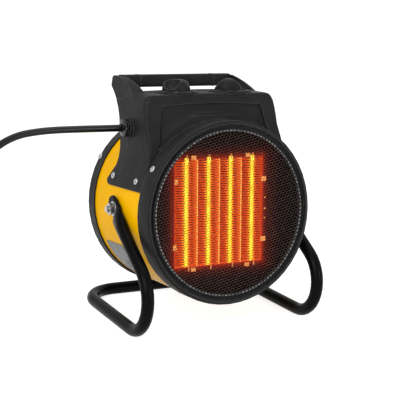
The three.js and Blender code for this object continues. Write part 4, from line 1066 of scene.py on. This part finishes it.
def figure(text, size):
    """The flat triangles of a plain figure, centred on zero"""
    curve = bpy.data.curves.new("figure", "FONT")
    curve.body, curve.size = text, size
    curve.align_x = curve.align_y = "CENTER"
    curve.resolution_u = 3
    holder = new_object("figure", curve)
    bpy.context.view_layer.update()
    mesh = bpy.data.meshes.new_from_object(holder.evaluated_get(bpy.context.evaluated_depsgraph_get()))
    verts = [v.co.copy() for v in mesh.vertices]
    faces = [tuple(p.vertices) for p in mesh.polygons]
    bpy.data.objects.remove(holder)
    bpy.data.curves.remove(curve)
    bpy.data.meshes.remove(mesh)
    return verts, faces


def dial_places(node, x, radius, count, sweep, lift):
    """Places spread over the dial's sweep, each lifted off its surface and turned to face outwards"""
    for k in range(count):
        angle = math.radians(sweep * (k / (count - 1) - 0.5))
        spot = Vector((x + radius * math.sin(angle), KNOB_PLACE - radius * math.cos(angle), FAR))
        top = seat(node, spot, (0, 0, -1))[0].z
        yield Matrix.Translation((spot.x, spot.y, top + lift)) @ Matrix.Rotation(angle, 4, "Z")


def make_dial_marks(name, node, x, figures, ticks, sweep):
    marks = Shape()
    for turn in dial_places(node, x, TICK_RADIUS, ticks, sweep, TICK_LIFT):
        marks.box(TICK_LOW, TICK_HIGH, turn=turn)
    for text, turn in zip(figures, dial_places(node, x, FIGURE_RADIUS, len(figures), sweep, FIGURE_LIFT)):
        verts, faces = figure(text, FIGURE_SIZE)
        base = len(marks.verts)
        marks.verts.extend(turn @ v for v in verts)
        marks.faces.extend(tuple(base + i for i in face) for face in faces)
    marks.make(name, MARK, "heater", slot="black_plastic", smooth=False)


# Bare plate on the drum's left, between two angles from the top and two depths

BLANK_FROM, BLANK_TO = math.radians(115), math.radians(145)
BLANK_FRONT, BLANK_REAR = 93, 141
BLANK_CORNER = 3.0
BLANK_STEPS = 24
BLANK_SUNK, BLANK_PROUD = 0.25, 0.4


def make_bare_plate():
    """A thin bare plate with round corners, bent to the drum"""
    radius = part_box("drum_shell")[1][0] / MM
    inner, outer = radius - BLANK_SUNK, radius + BLANK_PROUD
    rings = []
    for k in range(BLANK_STEPS + 1):
        angle = BLANK_FROM + (BLANK_TO - BLANK_FROM) * k / BLANK_STEPS
        edge = min(k, BLANK_STEPS - k) / BLANK_STEPS * (BLANK_TO - BLANK_FROM) * radius
        into = max(BLANK_CORNER - edge, 0)
        inset = BLANK_CORNER - math.sqrt(BLANK_CORNER ** 2 - into ** 2)
        front, rear = BLANK_FRONT + inset, BLANK_REAR - inset
        out = Vector((-math.sin(angle), 0, math.cos(angle)))
        section = ((inner, front), (outer, front), (outer, rear), (inner, rear))
        rings.append([out * r + Vector((0, y, 0)) for r, y in section])
    Shape().rings(rings).make("bare_plate", BLANK, "heater", slot="zinc")


make_gland_cap()
make_ridges()
make_collars()
make_dial_marks("mode_marks", "mode_dial", -36.2, "0123", ticks=4, sweep=180)
make_dial_marks("thermostat_marks", "thermostat_dial", 36.2, "12345", ticks=11, sweep=270)
make_bare_plate()

# Stage and light: what the camera sees of floor and world is lifted to white, and the object's light isn't

FLOOR_HALF = 60
FLOOR_LIFT = 0.82
WORLD_LIGHT = 0.42


def make_floor():
    nodes = Nodes("floor")
    tone = nodes.tones(1.5, 2, (0.58, 0.58, 0.58), (0.62, 0.62, 0.62))
    nodes.finish(tone, 0.9, specular=0.1)
    lift = nodes.add("ShaderNodeEmission", Color=(1, 1, 1, 1), Strength=nodes.times(nodes.seen(), FLOOR_LIFT))
    both = nodes.add("ShaderNodeAddShader")
    nodes.set(both.inputs[0], nodes.shader.outputs[0])
    nodes.set(both.inputs[1], lift.outputs[0])
    nodes.set(nodes.tree.nodes["Material Output"].inputs["Surface"], both.outputs[0])
    corners = [(x * FLOOR_HALF, y * FLOOR_HALF, 0) for x, y in ((-1, -1), (1, -1), (1, 1), (-1, 1))]
    piece("floor", corners, [(0, 1, 2, 3)], [nodes.material], None, place=Matrix.Identity(4), smooth=False)


def make_world():
    world = bpy.data.worlds.new("studio")
    world.use_nodes = True
    bpy.context.scene.world = world
    nodes = Tree(world.node_tree)
    back = nodes.tree.nodes["Background"]
    back.inputs["Color"].default_value = (1, 1, 1, 1)
    nodes.set(back.inputs["Strength"], nodes.math("MULTIPLY_ADD", nodes.seen(), 1 - WORLD_LIGHT, WORLD_LIGHT))


def area(name, place, target, size, power):
    """A rectangular lamp, with its places and sizes in metres and its power in watts"""
    lamp = bpy.data.lights.new(name, "AREA")
    lamp.shape = "RECTANGLE"
    lamp.size, lamp.size_y = size
    lamp.energy = power
    obj = new_object(name, lamp)
    obj.location = place
    obj.rotation_euler = (Vector(target) - Vector(place)).to_track_quat("-Z", "Y").to_euler()


make_floor()
make_world()
area("key", (-1.6, -1.1, 1.3), target=(0, 0, 0.15), size=(1.2, 1.2), power=33)
area("top", (0.1, 0.2, 2.0), target=(0, 0, 0.1), size=(1.6, 1.2), power=10)
area("fill", (1.0, -2.0, 0.7), target=(0, 0, 0.15), size=(1.0, 1.0), power=13)

bpy.context.scene.view_settings.view_transform = "Standard"
